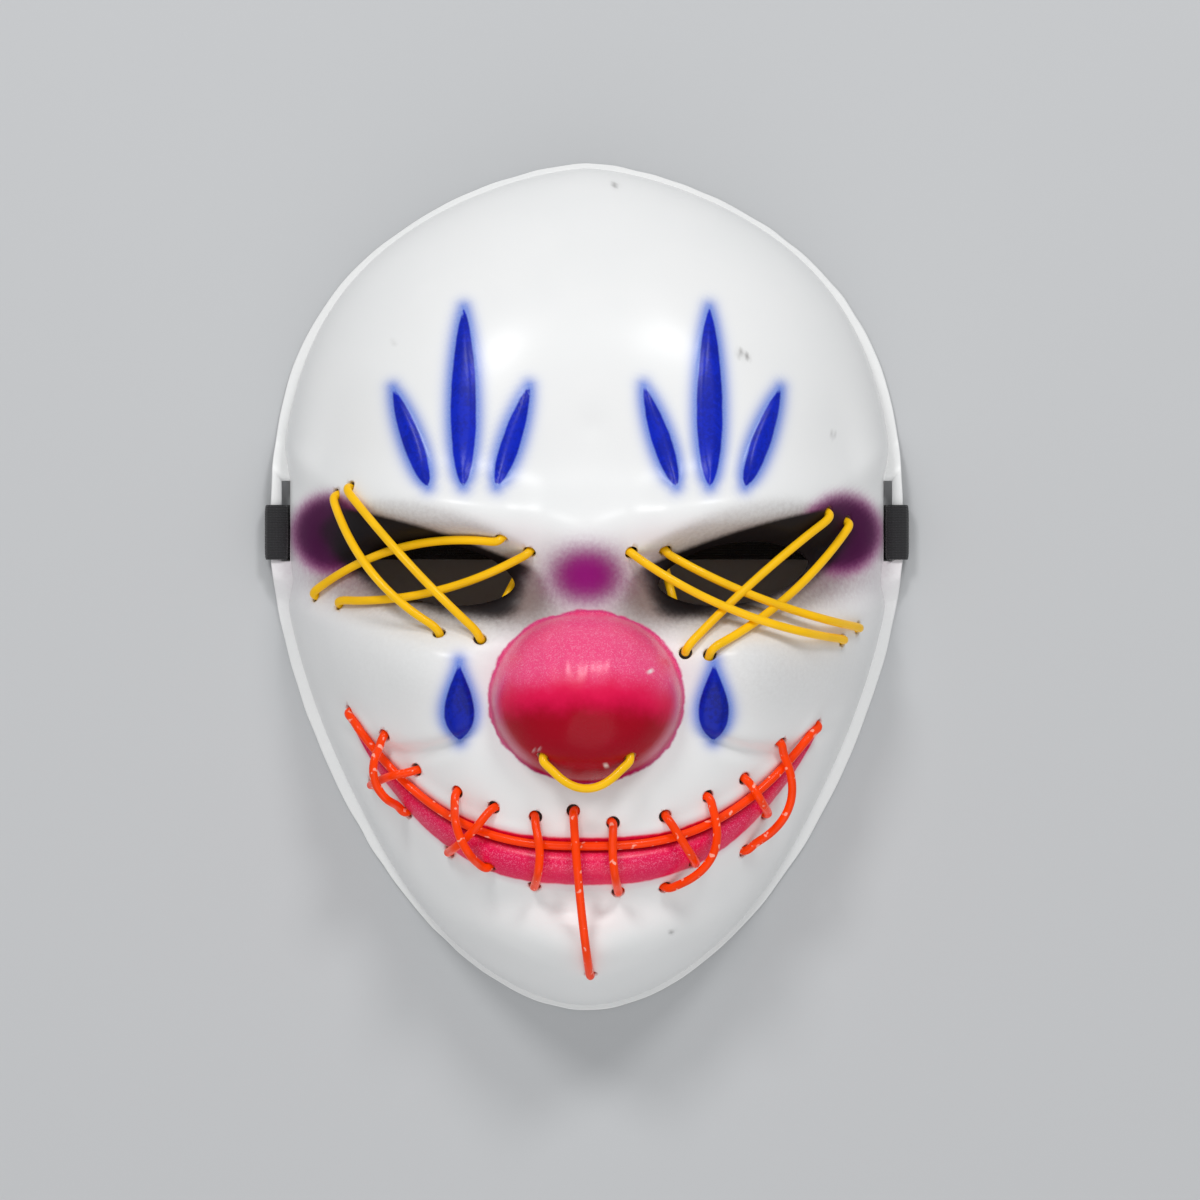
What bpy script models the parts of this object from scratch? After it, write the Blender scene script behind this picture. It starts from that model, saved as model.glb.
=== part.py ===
"""Clown face mask: a thin moulded shell, light wires threaded through it and an elastic head band.

The mask lies face up on its rim. +Z points out of the face, +Y to the crown and +X to the right as
seen from the front. The origin is on the resting plane, under the middle of the mask's outline.
Lengths are in metres. Tables hold shares of the named sizes that they follow.
"""

import math
from collections import namedtuple

import bmesh
import bpy
import numpy as np
from mathutils import Vector
from mathutils.bvhtree import BVHTree

# Shell
MASK_WIDTH = 0.173
MASK_HEIGHT = 0.232
FACE_DEPTH = 0.058
WALL = 0.0015
WIDEST_LEVEL = 0.010
FLANGE_WIDTH = 0.0032
END_FLANGE_WIDTH = 0.0014

# Nose ball, as a half ellipsoid that stands on the face
NOSE_HALF_WIDTH = 0.0255
NOSE_HALF_HEIGHT = 0.0225
NOSE_PROTRUSION = 0.0250
NOSE_LEVEL = -0.0295
NOSE_FILLET = 0.0030

# Eye openings
EYE_OPENING_LENGTH = 0.041
EYE_OPENING_HEIGHT = 0.0165
EYE_SPACING = 0.079
EYE_LEVEL = 0.0035
EYE_TILT = math.radians(9.0)

# Light wires and the holes that they are threaded through
WIRE_DIAMETER = 0.0023
WIRE_GAP = 0.0006
WIRE_BEND = 0.0022
HOLE_CLEARANCE = 0.0007

# Head band, and the slots in the flange that hold it
BAND_WIDTH = 0.015
BAND_THICKNESS = 0.0012
BAND_GAP = 0.0004
BAND_WAVE = 0.018
BAND_HUMPS = 3
BAND_TAIL = 0.014
SLOT_LENGTH = 0.022
SLOT_WIDTH = 0.0024
SLOT_LEVEL = 0.018
TAB_WIDTH = 0.0030

WIRE_RADIUS = WIRE_DIAMETER / 2
WIRE_REST = WIRE_RADIUS + WIRE_GAP
WIRE_CROSSING = WIRE_DIAMETER + 2.5 * WIRE_GAP
HALF_WIDTH = MASK_WIDTH / 2
HALF_HEIGHT = MASK_HEIGHT / 2
NOSE_CENTRE = np.array([0.0, NOSE_LEVEL])
BAND_LEVEL = SLOT_LEVEL - (SLOT_LENGTH - BAND_WIDTH) / 2 + BAND_GAP
BAND_LOW = BAND_THICKNESS / 2 + BAND_GAP / 2
BAND_HIGH = BAND_LOW + BAND_THICKNESS + BAND_GAP
RIM_LIFT = BAND_HIGH + BAND_THICKNESS / 2 + 2 * BAND_GAP
SLOT_FLANGE = 2 * BAND_GAP + SLOT_WIDTH + TAB_WIDTH

# The outline's half width is (1 - t^bend)^fullness of the way up or down from its widest level.
# Its spokes are spaced by length, to which each radian of turning adds TURN_LENGTH.
Curve = namedtuple("Curve", "bend fullness")
CROWN_OUTLINE = Curve(3.0, 0.64)
JAW_OUTLINE = Curve(1.55, 0.54)
OUTLINE_SAMPLES = 400
TURN_LENGTH = 0.035

# The flange narrows to crown and chin over this stretch, as shares of the half height
NARROWING = (0.45, 0.85)

# The face's dome is (1 - r^bend)^fullness high, r being the share of the way from nose to rim.
CROWN_DOME = Curve(3.2, 0.55)
SIDE_DOME = Curve(2.4, 0.55)
JAW_DOME = Curve(3.4, 0.55)
RIM_FADE = 0.14

# Spokes of the mesh on each side of the face: chin to slot, along the slot, slot to crown.
SPOKES_BELOW_SLOT = 12
SPOKES_ALONG_SLOT = 3
SPOKES_ABOVE_SLOT = 10
SLOT_MARGIN = 0.002
NOSE_RINGS = (0.35, 0.64, 0.84, 0.95, 1.04)
FACE_RINGS = 14

# Soft swellings and hollows of the face, each a bell, and each made on both sides.
# Shares: x and spread_x of the half width, y and spread_y of the half height, height of the depth.
Swelling = namedtuple("Swelling", "name x y spread_x spread_y tilt_deg height")
SWELLINGS = (
    Swelling("cheek", 0.52, -0.185, 0.190, 0.100, -12, 0.165),
    Swelling("eye_socket", 0.46, 0.035, 0.215, 0.078, 9, -0.225),
    Swelling("brow", 0.46, 0.175, 0.270, 0.052, 7, 0.120),
    Swelling("temple", 0.82, 0.290, 0.130, 0.130, 0, -0.060),
    Swelling("frontal", 0.32, 0.600, 0.250, 0.170, 0, 0.040),
    Swelling("muzzle", 0.26, -0.430, 0.200, 0.090, 25, 0.055),
    Swelling("smile_pouch", 0.855, -0.315, 0.050, 0.090, -20, 0.045),
    Swelling("cheek_hollow", 0.60, -0.600, 0.130, 0.110, 30, -0.060),
)
MIDDLE_SWELLINGS = (
    Swelling("bridge", 0.0, -0.010, 0.095, 0.130, 0, 0.110),
    Swelling("forehead_hollow", 0.0, 0.300, 0.110, 0.090, 0, -0.025),
    Swelling("under_lip", 0.0, -0.735, 0.290, 0.034, 0, -0.060),
    Swelling("chin", 0.0, -0.865, 0.250, 0.080, 0, 0.150),
)

# The smile: a seam that curves up to the corners, a rolled lip under it and a fold over the cheeks.
SMILE_HALF_LENGTH = 0.0650
SMILE_LEVEL = -0.0700
SMILE_RISE = 0.0360
SMILE_BEND = 2.7
LIP_HALF_LENGTH = 0.0600
LIP_HALF_HEIGHT = 0.0058
LIP_RISE = 0.0032
SEAM_DEPTH = 0.0016
SEAM_SPREAD = 0.0017
FOLD_DEPTH = 0.0022
FOLD_SPREAD = 0.0026
Fold = namedtuple("Fold", "x y rise start end")
CHEEK_FOLD = Fold(x=0.46, y=-0.315, rise=1.0, start=0.30, end=0.80)

# Front runs of the light wires. Ends are hole centres, as shares of the half width and half height.
# bow is the run's sideways bend to its left and lift its bend off the face, as shares of its length.
# over counts the wires that lie between the run and the face.
Run = namedtuple("Run", "x0 y0 x1 y1 bow lift over")
EYE_RUNS = (
    Run(-0.456, -0.106, -0.782, 0.213, 0.09, 0.10, 0),
    Run(-0.738, 0.231, -0.329, -0.120, -0.02, 0.10, 0),
    Run(-0.177, 0.080, -0.773, -0.040, 0.07, 0.00, 0),
    Run(-0.852, -0.021, -0.263, 0.111, 0.10, 0.00, 0),
    Run(0.139, 0.078, 0.800, -0.125, -0.06, 0.15, 1),
    Run(0.850, -0.097, 0.244, 0.083, 0.04, 0.15, 1),
    Run(0.305, -0.152, 0.754, 0.172, 0.02, -0.05, 0),
    Run(0.817, 0.151, 0.380, -0.156, 0.06, -0.05, 0),
    Run(0.135, -0.392, -0.135, -0.392, 0.30, 0.06, 0),
)
SMILE_RUN = Run(0.722, -0.322, -0.742, -0.290, 0.0, 0.0, 0)
STITCHES = (
    Run(-0.630, -0.345, -0.561, -0.527, -0.24, 0.0, 2),
    Run(-0.672, -0.462, -0.530, -0.425, 0.06, 0.0, 1),
    Run(-0.402, -0.475, -0.301, -0.650, -0.12, 0.0, 2),
    Run(-0.428, -0.616, -0.288, -0.510, -0.04, 0.0, 1),
    Run(-0.158, -0.531, -0.162, -0.692, 0.08, 0.0, 1),
    Run(0.013, -0.900, -0.041, -0.517, 0.01, 0.0, 1),
    Run(0.082, -0.545, 0.098, -0.706, -0.04, 0.0, 1),
    Run(0.244, -0.697, 0.377, -0.485, -0.24, 0.0, 1),
    Run(0.244, -0.530, 0.335, -0.640, 0.00, 0.0, 1),
    Run(0.491, -0.616, 0.605, -0.362, -0.24, 0.0, 1),
    Run(0.491, -0.445, 0.560, -0.530, 0.00, 0.0, 1),
)
RUN_STEP = 0.0042
BACK_SAG = 0.15
WIRE_TAIL = 0.012
WIRE_SLACK = 0.00027
HOLE_SIDES = 8


def clear_scene():
    """Removes every object of the opened file."""
    for old in list(bpy.data.objects):
        bpy.data.objects.remove(old, do_unlink=True)


def material(name, colour, roughness):
    """A plain material of one part."""
    made = bpy.data.materials.new(name)
    made.use_nodes = True
    shader = made.node_tree.nodes["Principled BSDF"]
    shader.inputs["Base Color"].default_value = (*colour, 1.0)
    shader.inputs["Roughness"].default_value = roughness
    shader.inputs["Metallic"].default_value = 0.0
    return made


def smooth_step(value):
    """0 below 0, 1 above 1 and an S curve between."""
    held = np.clip(value, 0.0, 1.0)
    return held * held * (3.0 - 2.0 * held)


def outline_half_width(y):
    """Half width of the whole outline at each height y."""
    up = np.clip((y - WIDEST_LEVEL) / (HALF_HEIGHT - WIDEST_LEVEL), 0.0, 1.0)
    down = np.clip((WIDEST_LEVEL - y) / (HALF_HEIGHT + WIDEST_LEVEL), 0.0, 1.0)
    crown = (1.0 - up**CROWN_OUTLINE.bend) ** CROWN_OUTLINE.fullness
    jaw = (1.0 - down**JAW_OUTLINE.bend) ** JAW_OUTLINE.fullness
    return HALF_WIDTH * np.where(y >= WIDEST_LEVEL, crown, jaw)


def outline_spokes():
    """Outline points, anticlockwise from the chin, with some at both ends of the slots."""
    turn = np.linspace(-math.pi / 2, math.pi / 2, OUTLINE_SAMPLES)
    reach = np.where(turn > 0, HALF_HEIGHT - WIDEST_LEVEL, HALF_HEIGHT + WIDEST_LEVEL)
    y = WIDEST_LEVEL + reach * np.sin(turn)
    x = outline_half_width(y)
    heading = np.unwrap(np.arctan2(np.diff(y), np.diff(x)))
    turned = np.abs(np.diff(heading, prepend=0.0))
    length = np.cumsum(np.hypot(np.diff(x), np.diff(y)) + TURN_LENGTH * turned)
    length = np.concatenate([[0.0], length])
    half_slot = SLOT_LENGTH / 2 + SLOT_MARGIN
    ends = np.interp([SLOT_LEVEL - half_slot, SLOT_LEVEL + half_slot], y, length)
    stops = np.concatenate(
        [
            np.linspace(0.0, ends[0], SPOKES_BELOW_SLOT + 1)[:-1],
            np.linspace(ends[0], ends[1], SPOKES_ALONG_SLOT + 1)[:-1],
            np.linspace(ends[1], length[-1], SPOKES_ABOVE_SLOT + 1),
        ]
    )
    right = np.stack([np.interp(stops, length, x), np.interp(stops, length, y)], axis=1)
    left = right[-2:0:-1] * np.array([-1.0, 1.0])
    return np.concatenate([right, left])


def slot_share(points):
    """1 beside the band slots, 0 one spoke or more away from them."""
    away = np.abs(points[:, 1] - SLOT_LEVEL) - (SLOT_LENGTH / 2 + SLOT_MARGIN)
    beside = np.abs(points[:, 0]) > HALF_WIDTH / 2
    return np.where(beside, 1.0 - smooth_step(away / (SLOT_LENGTH / 2)), 0.0)


RIM = outline_spokes()
SLOT_SHARE = slot_share(RIM)


def wall_foot():
    """Where the dome's outer wall meets the flange, on each spoke."""
    inward = NOSE_CENTRE - RIM
    inward /= np.linalg.norm(inward, axis=1, keepdims=True)
    start, end = NARROWING
    narrowed = smooth_step((np.abs(RIM[:, 1]) / HALF_HEIGHT - start) / (end - start))
    width = FLANGE_WIDTH + (END_FLANGE_WIDTH - FLANGE_WIDTH) * narrowed
    width = width + (SLOT_FLANGE - FLANGE_WIDTH) * SLOT_SHARE
    return RIM + inward * width[:, None]


FOOT = wall_foot()


def rim_share(x, y):
    """Share of the way from the middle of the nose to the wall's foot, and the spoke's angle."""
    spokes = FOOT - NOSE_CENTRE
    angles = np.unwrap(np.arctan2(spokes[:, 1], spokes[:, 0]))
    reach = np.linalg.norm(spokes, axis=1)
    angle = np.arctan2(y - NOSE_CENTRE[1], x - NOSE_CENTRE[0])
    turned = np.mod(angle - angles[0], 2 * math.pi) + angles[0]
    full_angles = np.append(angles, angles[0] + 2 * math.pi)
    full_reach = np.append(reach, reach[0])
    far = np.interp(turned, full_angles, full_reach)
    return np.hypot(x - NOSE_CENTRE[0], y - NOSE_CENTRE[1]) / far, angle


def dome_height(share, angle):
    """The plain dome, as a share of the depth: fuller to the crown and chin than to the sides."""
    crown = np.maximum(np.sin(angle), 0.0) ** 2
    jaw = np.maximum(-np.sin(angle), 0.0) ** 2
    bend = SIDE_DOME.bend + crown * (CROWN_DOME.bend - SIDE_DOME.bend)
    bend = bend + jaw * (JAW_DOME.bend - SIDE_DOME.bend)
    return (1.0 - np.clip(share, 0.0, 1.0) ** bend) ** SIDE_DOME.fullness


def bell(x, y, row):
    """One swelling: a bell over a tilted ellipse."""
    tilt = math.radians(row.tilt_deg)
    dx = x - row.x * HALF_WIDTH
    dy = y - row.y * HALF_HEIGHT
    along = (dx * math.cos(tilt) + dy * math.sin(tilt)) / (row.spread_x * HALF_WIDTH)
    across = (dy * math.cos(tilt) - dx * math.sin(tilt)) / (row.spread_y * HALF_HEIGHT)
    return row.height * FACE_DEPTH * np.exp(-0.5 * (along**2 + across**2))


def seam_level(x):
    """Height of the smile's seam at each x."""
    return SMILE_LEVEL + SMILE_RISE * (np.abs(x) / SMILE_HALF_LENGTH) ** SMILE_BEND


def mouth_relief(x, y):
    """The seam's groove, the rolled lip under it and the fold between cheek and smile."""
    off_seam = y - seam_level(x)
    seam_end = smooth_step((SMILE_HALF_LENGTH - np.abs(x)) / (3 * SEAM_SPREAD))
    groove = -SEAM_DEPTH * np.exp(-0.5 * (off_seam / SEAM_SPREAD) ** 2) * seam_end
    lip_share = np.sqrt(np.clip(1.0 - (x / LIP_HALF_LENGTH) ** 2, 0.0, 1.0))
    half = np.maximum(LIP_HALF_HEIGHT * lip_share, 1e-5)
    across = (off_seam + 0.85 * half) / half
    lip = LIP_RISE * lip_share * np.clip(1.0 - across**2, 0.0, 1.0) ** 0.75
    side = np.abs(x) / HALF_WIDTH
    fold_level = (CHEEK_FOLD.y + CHEEK_FOLD.rise * (side - CHEEK_FOLD.x) ** 2) * HALF_HEIGHT
    ends = smooth_step((side - CHEEK_FOLD.start) / 0.12) * smooth_step((CHEEK_FOLD.end - side) / 0.12)
    fold = -FOLD_DEPTH * np.exp(-0.5 * ((y - fold_level) / FOLD_SPREAD) ** 2) * ends
    return groove + lip + fold


def nose_height(x, y):
    """Top of the nose ball, which falls steeply away outside its edge."""
    out = np.hypot(
        (x - NOSE_CENTRE[0]) / NOSE_HALF_WIDTH, (y - NOSE_CENTRE[1]) / NOSE_HALF_HEIGHT
    )
    ball = np.sqrt(np.clip(1.0 - out**2, 0.0, 1.0)) - 2.0 * np.maximum(out - 1.0, 0.0)
    return FACE_DEPTH + NOSE_PROTRUSION * ball


def face_height(x, y):
    """Height of the shell's outer face over the plane of the flange's top."""
    share, angle = rim_share(x, y)
    relief = sum(bell(np.abs(x), y, row) for row in SWELLINGS)
    relief = relief + sum(bell(x, y, row) for row in MIDDLE_SWELLINGS) + mouth_relief(x, y)
    face = dome_height(share, angle) * (FACE_DEPTH - WALL)
    face = face + relief * smooth_step((1.0 - share) / RIM_FADE)
    ball = nose_height(x, y) - WALL
    blend = np.clip(0.5 + 0.5 * (ball - face) / NOSE_FILLET, 0.0, 1.0)
    return face + (ball - face) * blend + NOSE_FILLET * blend * (1.0 - blend)


def ring_shares():
    """Share of each spoke at every ring, spaced by the dome's arc outside the nose."""
    steps = np.linspace(0.0, 1.0, 200)
    shares = []
    for spoke in FOOT - NOSE_CENTRE:
        reach = np.linalg.norm(spoke)
        angle = math.atan2(spoke[1], spoke[0])
        nose = 1.0 / math.hypot(spoke[0] / NOSE_HALF_WIDTH, spoke[1] / NOSE_HALF_HEIGHT)
        first = nose * NOSE_RINGS[-1]
        share = first + (1.0 - first) * (1.0 - (1.0 - steps) ** 2)
        height = dome_height(share, np.full_like(share, angle)) * FACE_DEPTH
        length = np.concatenate([[0.0], np.cumsum(np.hypot(np.diff(share) * reach, np.diff(height)))])
        stops = np.linspace(0.0, length[-1], FACE_RINGS + 1)[1:]
        shares.append([nose * ring for ring in NOSE_RINGS] + list(np.interp(stops, length, share)))
    return np.array(shares)


def outer_face():
    """Outer points as [spoke, ring, xyz], from the nose to the foot of the wall."""
    shares = ring_shares()
    plan = NOSE_CENTRE + (FOOT - NOSE_CENTRE)[:, None, :] * shares[:, :, None]
    height = face_height(plan[..., 0], plan[..., 1])
    height[:, -1] = 0.0
    lift = (RIM_LIFT * SLOT_SHARE)[:, None] * (1.0 - smooth_step(height / (FACE_DEPTH / 2)))
    return np.dstack([plan, height + WALL + lift])


def grid_normals(grid, tip):
    """Outward normal at each point of the outer face."""
    with_tip = np.concatenate([np.broadcast_to(tip, (len(grid), 1, 3)), grid], axis=1)
    along = np.empty_like(grid)
    along[:, :-1] = with_tip[:, 2:] - with_tip[:, :-2]
    along[:, -1] = with_tip[:, -1] - with_tip[:, -2]
    round_face = np.roll(grid, -1, axis=0) - np.roll(grid, 1, axis=0)
    normal = np.cross(along, round_face)
    return normal / np.linalg.norm(normal, axis=2, keepdims=True)


def split_quad(points, corners):
    """The two triangles of a quad that meet on its shorter diagonal."""
    a, b, c, d = corners
    if np.linalg.norm(points[a] - points[c]) < np.linalg.norm(points[b] - points[d]):
        return [(a, b, c), (a, c, d)]
    return [(a, b, d), (b, c, d)]


def shell_mesh():
    """Points and faces of the closed shell: outer face, flange, underside and inner face."""
    outer = outer_face()
    tip = np.array([*NOSE_CENTRE, face_height(*NOSE_CENTRE) + WALL])
    inner = outer - WALL * grid_normals(outer, tip)
    lift = RIM_LIFT * SLOT_SHARE
    flange_top = np.column_stack([RIM, lift + WALL])[:, None, :]
    flange_foot = np.column_stack([RIM, lift])[:, None, :]
    inward = FOOT - RIM
    inward /= np.linalg.norm(inward, axis=1, keepdims=True)
    wall_inside = np.column_stack([FOOT + WALL * inward, lift])[:, None, :]
    grid = np.concatenate([outer, flange_top, flange_foot, wall_inside, inner[:, -2::-1]], axis=1)
    spokes, rings = grid.shape[:2]
    points = [*grid.reshape(-1, 3), tip, tip - np.array([0.0, 0.0, WALL])]
    outer_tip, inner_tip = spokes * rings, spokes * rings + 1
    faces = []
    for spoke in range(spokes):
        here, there = spoke * rings, (spoke + 1) % spokes * rings
        faces.append((outer_tip, here, there))
        for r in range(rings - 1):
            faces += split_quad(points, (here + r, here + r + 1, there + r + 1, there + r))
        faces.append((inner_tip, there + rings - 1, here + rings - 1))
    return [tuple(p) for p in points], faces


def shell_tree():
    """The uncut shell as a tree that rays can be cast at."""
    return BVHTree.FromPolygons(*shell_mesh())


SHELL = shell_tree()
PROBE = 0.0015
Hole = namedtuple("Hole", "top normal")


def face_level(x, y, side):
    """Height of the shell's outer face (side 1) or inner face (side -1) over x, y."""
    hit = SHELL.ray_cast(Vector((x, y, side)), Vector((0.0, 0.0, -side)))[0]
    return hit.z if hit else 0.0


def outer_point(x, y):
    """The point of the outer face over x, y, and its smoothed normal."""
    slope_x = (face_level(x + PROBE, y, 1) - face_level(x - PROBE, y, 1)) / (2 * PROBE)
    slope_y = (face_level(x, y + PROBE, 1) - face_level(x, y - PROBE, 1)) / (2 * PROBE)
    return Vector((x, y, face_level(x, y, 1))), Vector((-slope_x, -slope_y, 1.0)).normalized()


def resting_level(x, y, radius, side):
    """Height at which a ball over x, y touches the outer face (side 1) or the inner face (side -1)."""
    levels = [side * face_level(x, y, side) + radius]
    for share in (0.4, 0.7, 0.9):
        for index in range(8):
            turn = math.pi * (index + share) / 4
            reach = share * radius
            level = face_level(x + reach * math.cos(turn), y + reach * math.sin(turn), side)
            levels.append(side * level + math.sqrt(radius**2 - reach**2))
    return side * max(levels)


def bend_point(end, toward, level):
    """Where a wire turns over, level away from the outer face on the axis of a hole."""
    side = (toward - end.normal * toward.dot(end.normal)).normalized()
    return end.top + end.normal * level + side * WIRE_BEND


def hole_at(x_share, y_share):
    """The hole's centre on the outer face, and its axis."""
    return Hole(*outer_point(x_share * HALF_WIDTH, y_share * HALF_HEIGHT))


def front_line(start, finish, run):
    """Points of one run between its two bends, bowed sideways and clear of the face."""
    ahead = finish - start
    left = Vector((-ahead.y, ahead.x, 0.0))
    count = max(round(ahead.length / RUN_STEP), 2)
    line = []
    for index in range(1, count):
        share = index / count
        bulge = 4 * share * (1 - share)
        point = start + ahead * share + left * run.bow * bulge
        stacked = run.over * WIRE_CROSSING * float(smooth_step(5 * min(share, 1 - share)))
        point.z = max(
            point.z + run.lift * ahead.length * bulge,
            resting_level(point.x, point.y, WIRE_REST + stacked, 1),
        )
        line.append(point)
    return line


def seam_line(start, finish):
    """Points along the seam of the smile between two bends."""
    first, last = start.x, finish.x
    count = round(abs(last - first) / RUN_STEP)
    line = []
    for index in range(1, count):
        x = first + (last - first) * index / count
        y = float(seam_level(x)) + SEAM_SPREAD / 3
        line.append(Vector((x, y, resting_level(x, y, WIRE_REST + WIRE_GAP / 2, 1))))
    return line


def front_run(run):
    """Wire points of one run, from the wall of its first hole to the wall of its last."""
    start, finish = hole_at(run.x0, run.y0), hole_at(run.x1, run.y1)
    ahead = (finish.top - start.top).normalized()
    left = Vector((-ahead.y, ahead.x, 0.0))
    if run is SMILE_RUN:
        toward, back = Vector((-0.6, -0.8, 0.0)), Vector((0.6, -0.8, 0.0))
    else:
        toward, back = ahead + left * 3 * run.bow, left * 3 * run.bow - ahead
    level = WIRE_REST + 0.35 * WIRE_BEND
    bent, bent_back = bend_point(start, toward, level), bend_point(finish, back, level)
    line = seam_line(bent, bent_back) if run is SMILE_RUN else front_line(bent, bent_back, run)
    through = [start.top - start.normal * WALL / 2, start.top + start.normal * WIRE_RADIUS]
    return_through = [
        finish.top + finish.normal * WIRE_RADIUS,
        finish.top - finish.normal * WALL / 2,
    ]
    return [*through, bent, *line, bent_back, *return_through]


def back_run(before, after):
    """Wire points behind the shell, from one run's last hole to the next run's first."""
    start, finish = hole_at(before.x1, before.y1), hole_at(after.x0, after.y0)
    ahead = finish.top - start.top
    level = -(WALL + WIRE_REST + 0.35 * WIRE_BEND)
    first, last = bend_point(start, ahead, level), bend_point(finish, -ahead, level)
    count = max(round((last - first).length / RUN_STEP), 2)
    line = [first]
    for index in range(1, count):
        point = first.lerp(last, index / count)
        sag = BACK_SAG * (last - first).length * 4 * index * (count - index) / count**2
        point.z = min(point.z - sag, resting_level(point.x, point.y, WIRE_REST, -1))
        line.append(point)
    return [*line, last]


def threaded(runs):
    """All points of one wire, with a short tail inside the shell at each end."""
    first, last = hole_at(runs[0].x0, runs[0].y0), hole_at(runs[-1].x1, runs[-1].y1)
    points = [first.top - first.normal * WIRE_TAIL]
    for before, run in zip((None, *runs), runs):
        if before:
            points += back_run(before, run)
        points += front_run(run)
    return [*points, last.top - last.normal * WIRE_TAIL]


def smooth_line(points):
    """A dense smooth curve through the points: centripetal Catmull-Rom, ten steps a span."""
    line = []
    ends = [points[0] * 2 - points[1], *points, points[-1] * 2 - points[-2]]
    for p0, p1, p2, p3 in zip(ends, ends[1:], ends[2:], ends[3:]):
        k1 = max((p1 - p0).length, 1e-5) ** 0.5
        k2 = k1 + max((p2 - p1).length, 1e-5) ** 0.5
        k3 = k2 + max((p3 - p2).length, 1e-5) ** 0.5
        for step in range(10):
            k = k1 + (k2 - k1) * step / 10
            a1 = p0.lerp(p1, k / k1)
            a2 = p1.lerp(p2, (k - k1) / (k2 - k1))
            a3 = p2.lerp(p3, (k - k2) / (k3 - k2))
            b1 = a1.lerp(a2, k / k2)
            b2 = a2.lerp(a3, (k - k1) / (k3 - k1))
            line.append(b1.lerp(b2, (k - k1) / (k2 - k1)))
    line.append(points[-1])
    return line


def off_chord(point, first, last):
    """Distance of a point from the chord between two others."""
    chord = last - first
    share = (point - first).dot(chord) / max(chord.length_squared, 1e-12)
    return (point - first - chord * min(max(share, 0.0), 1.0)).length


def thinned(line):
    """The points of a dense line that keep its chords within WIRE_SLACK of it."""
    if len(line) < 3:
        return line
    strays = [off_chord(point, line[0], line[-1]) for point in line[1:-1]]
    far = strays.index(max(strays)) + 1
    if strays[far - 1] < WIRE_SLACK:
        return [line[0], line[-1]]
    return thinned(line[: far + 1])[:-1] + thinned(line[far:])


def wire_object(name, runs, finish):
    """A round wire as a curve with a bevel."""
    curve = bpy.data.curves.new(name, "CURVE")
    curve.dimensions = "3D"
    curve.bevel_depth = WIRE_RADIUS
    curve.bevel_resolution = 2
    curve.use_fill_caps = True
    line = thinned(smooth_line(threaded(runs)))
    spline = curve.splines.new("POLY")
    spline.points.add(len(line) - 1)
    for point, place in zip(spline.points, line):
        point.co = (*place, 1.0)
    curve.materials.append(finish)
    made = bpy.data.objects.new(name, curve)
    bpy.context.scene.collection.objects.link(made)
    return made


def eye_wire():
    """The yellow wire: two crosses over the eyes and a ring under the nose."""
    return wire_object("eye_wire", EYE_RUNS, material("yellow_wire", (0.95, 0.55, 0.02), 0.35))


def mouth_wire():
    """The orange wire: one run along the smile and the stitches across it."""
    finish = material("orange_wire", (0.95, 0.10, 0.01), 0.35)
    return wire_object("mouth_wire", (SMILE_RUN, *STITCHES), finish)


def add_prism(cutter, low_ring, high_ring):
    """Adds a closed prism between two rings of as many points."""
    low = [cutter.verts.new(point) for point in low_ring]
    high = [cutter.verts.new(point) for point in high_ring]
    cutter.faces.new(low[::-1])
    cutter.faces.new(high)
    for index in range(len(low)):
        after = (index + 1) % len(low)
        cutter.faces.new((low[index], low[after], high[after], high[index]))


def add_wire_hole(cutter, x_share, y_share):
    """Adds one round hole along the face's normal."""
    top, normal = hole_at(x_share, y_share)
    side = normal.orthogonal().normalized()
    across = normal.cross(side)
    radius = (WIRE_RADIUS + HOLE_CLEARANCE) / math.cos(math.pi / HOLE_SIDES)
    reach = normal * (2 * WALL)
    ring = []
    for index in range(HOLE_SIDES):
        turn = 2 * math.pi * index / HOLE_SIDES
        ring.append(top + (side * math.cos(turn) + across * math.sin(turn)) * radius)
    add_prism(cutter, [p - reach - normal * WALL for p in ring], [p + reach for p in ring])


def eye_outline(side):
    """An almond with soft corners, its outer corner raised. side is -1 or 1."""
    points = []
    for index in range(14):
        turn = 2 * math.pi * index / 14
        along = EYE_OPENING_LENGTH / 2 * math.cos(turn)
        across = EYE_OPENING_HEIGHT / 2 * math.sin(turn) * abs(math.sin(turn)) ** 0.25
        x = EYE_SPACING / 2 + along * math.cos(EYE_TILT) - across * math.sin(EYE_TILT)
        y = EYE_LEVEL + along * math.sin(EYE_TILT) + across * math.cos(EYE_TILT)
        points.append((side * x, y))
    return points if side > 0 else points[::-1]


def slot_middle():
    """Distance of the slot's middle from the mask's middle plane."""
    edge = float(outline_half_width(np.array(SLOT_LEVEL)))
    return edge - TAB_WIDTH - SLOT_WIDTH / 2


def openings_cutter():
    """One hidden body that cuts the eye openings, band slots and wire holes."""
    cutter = bmesh.new()
    for side in (-1, 1):
        eye = eye_outline(side)
        add_prism(cutter, [(*p, WALL) for p in eye], [(*p, 2 * FACE_DEPTH) for p in eye])
        near, far = slot_middle() - SLOT_WIDTH / 2, slot_middle() + SLOT_WIDTH / 2
        low, high = SLOT_LEVEL - SLOT_LENGTH / 2, SLOT_LEVEL + SLOT_LENGTH / 2
        slot = [(near, low), (far, low), (far, high), (near, high)]
        slot = [(side * x, y) for x, y in slot][::side]
        add_prism(cutter, [(*p, -WALL) for p in slot], [(*p, RIM_LIFT + 2 * WALL) for p in slot])
    for run in (*EYE_RUNS, SMILE_RUN, *STITCHES):
        add_wire_hole(cutter, run.x0, run.y0)
        add_wire_hole(cutter, run.x1, run.y1)
    bmesh.ops.recalc_face_normals(cutter, faces=cutter.faces)
    made = mesh_object("openings_cutter", cutter)
    made.hide_render = True
    made.display_type = "WIRE"
    return made


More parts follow.
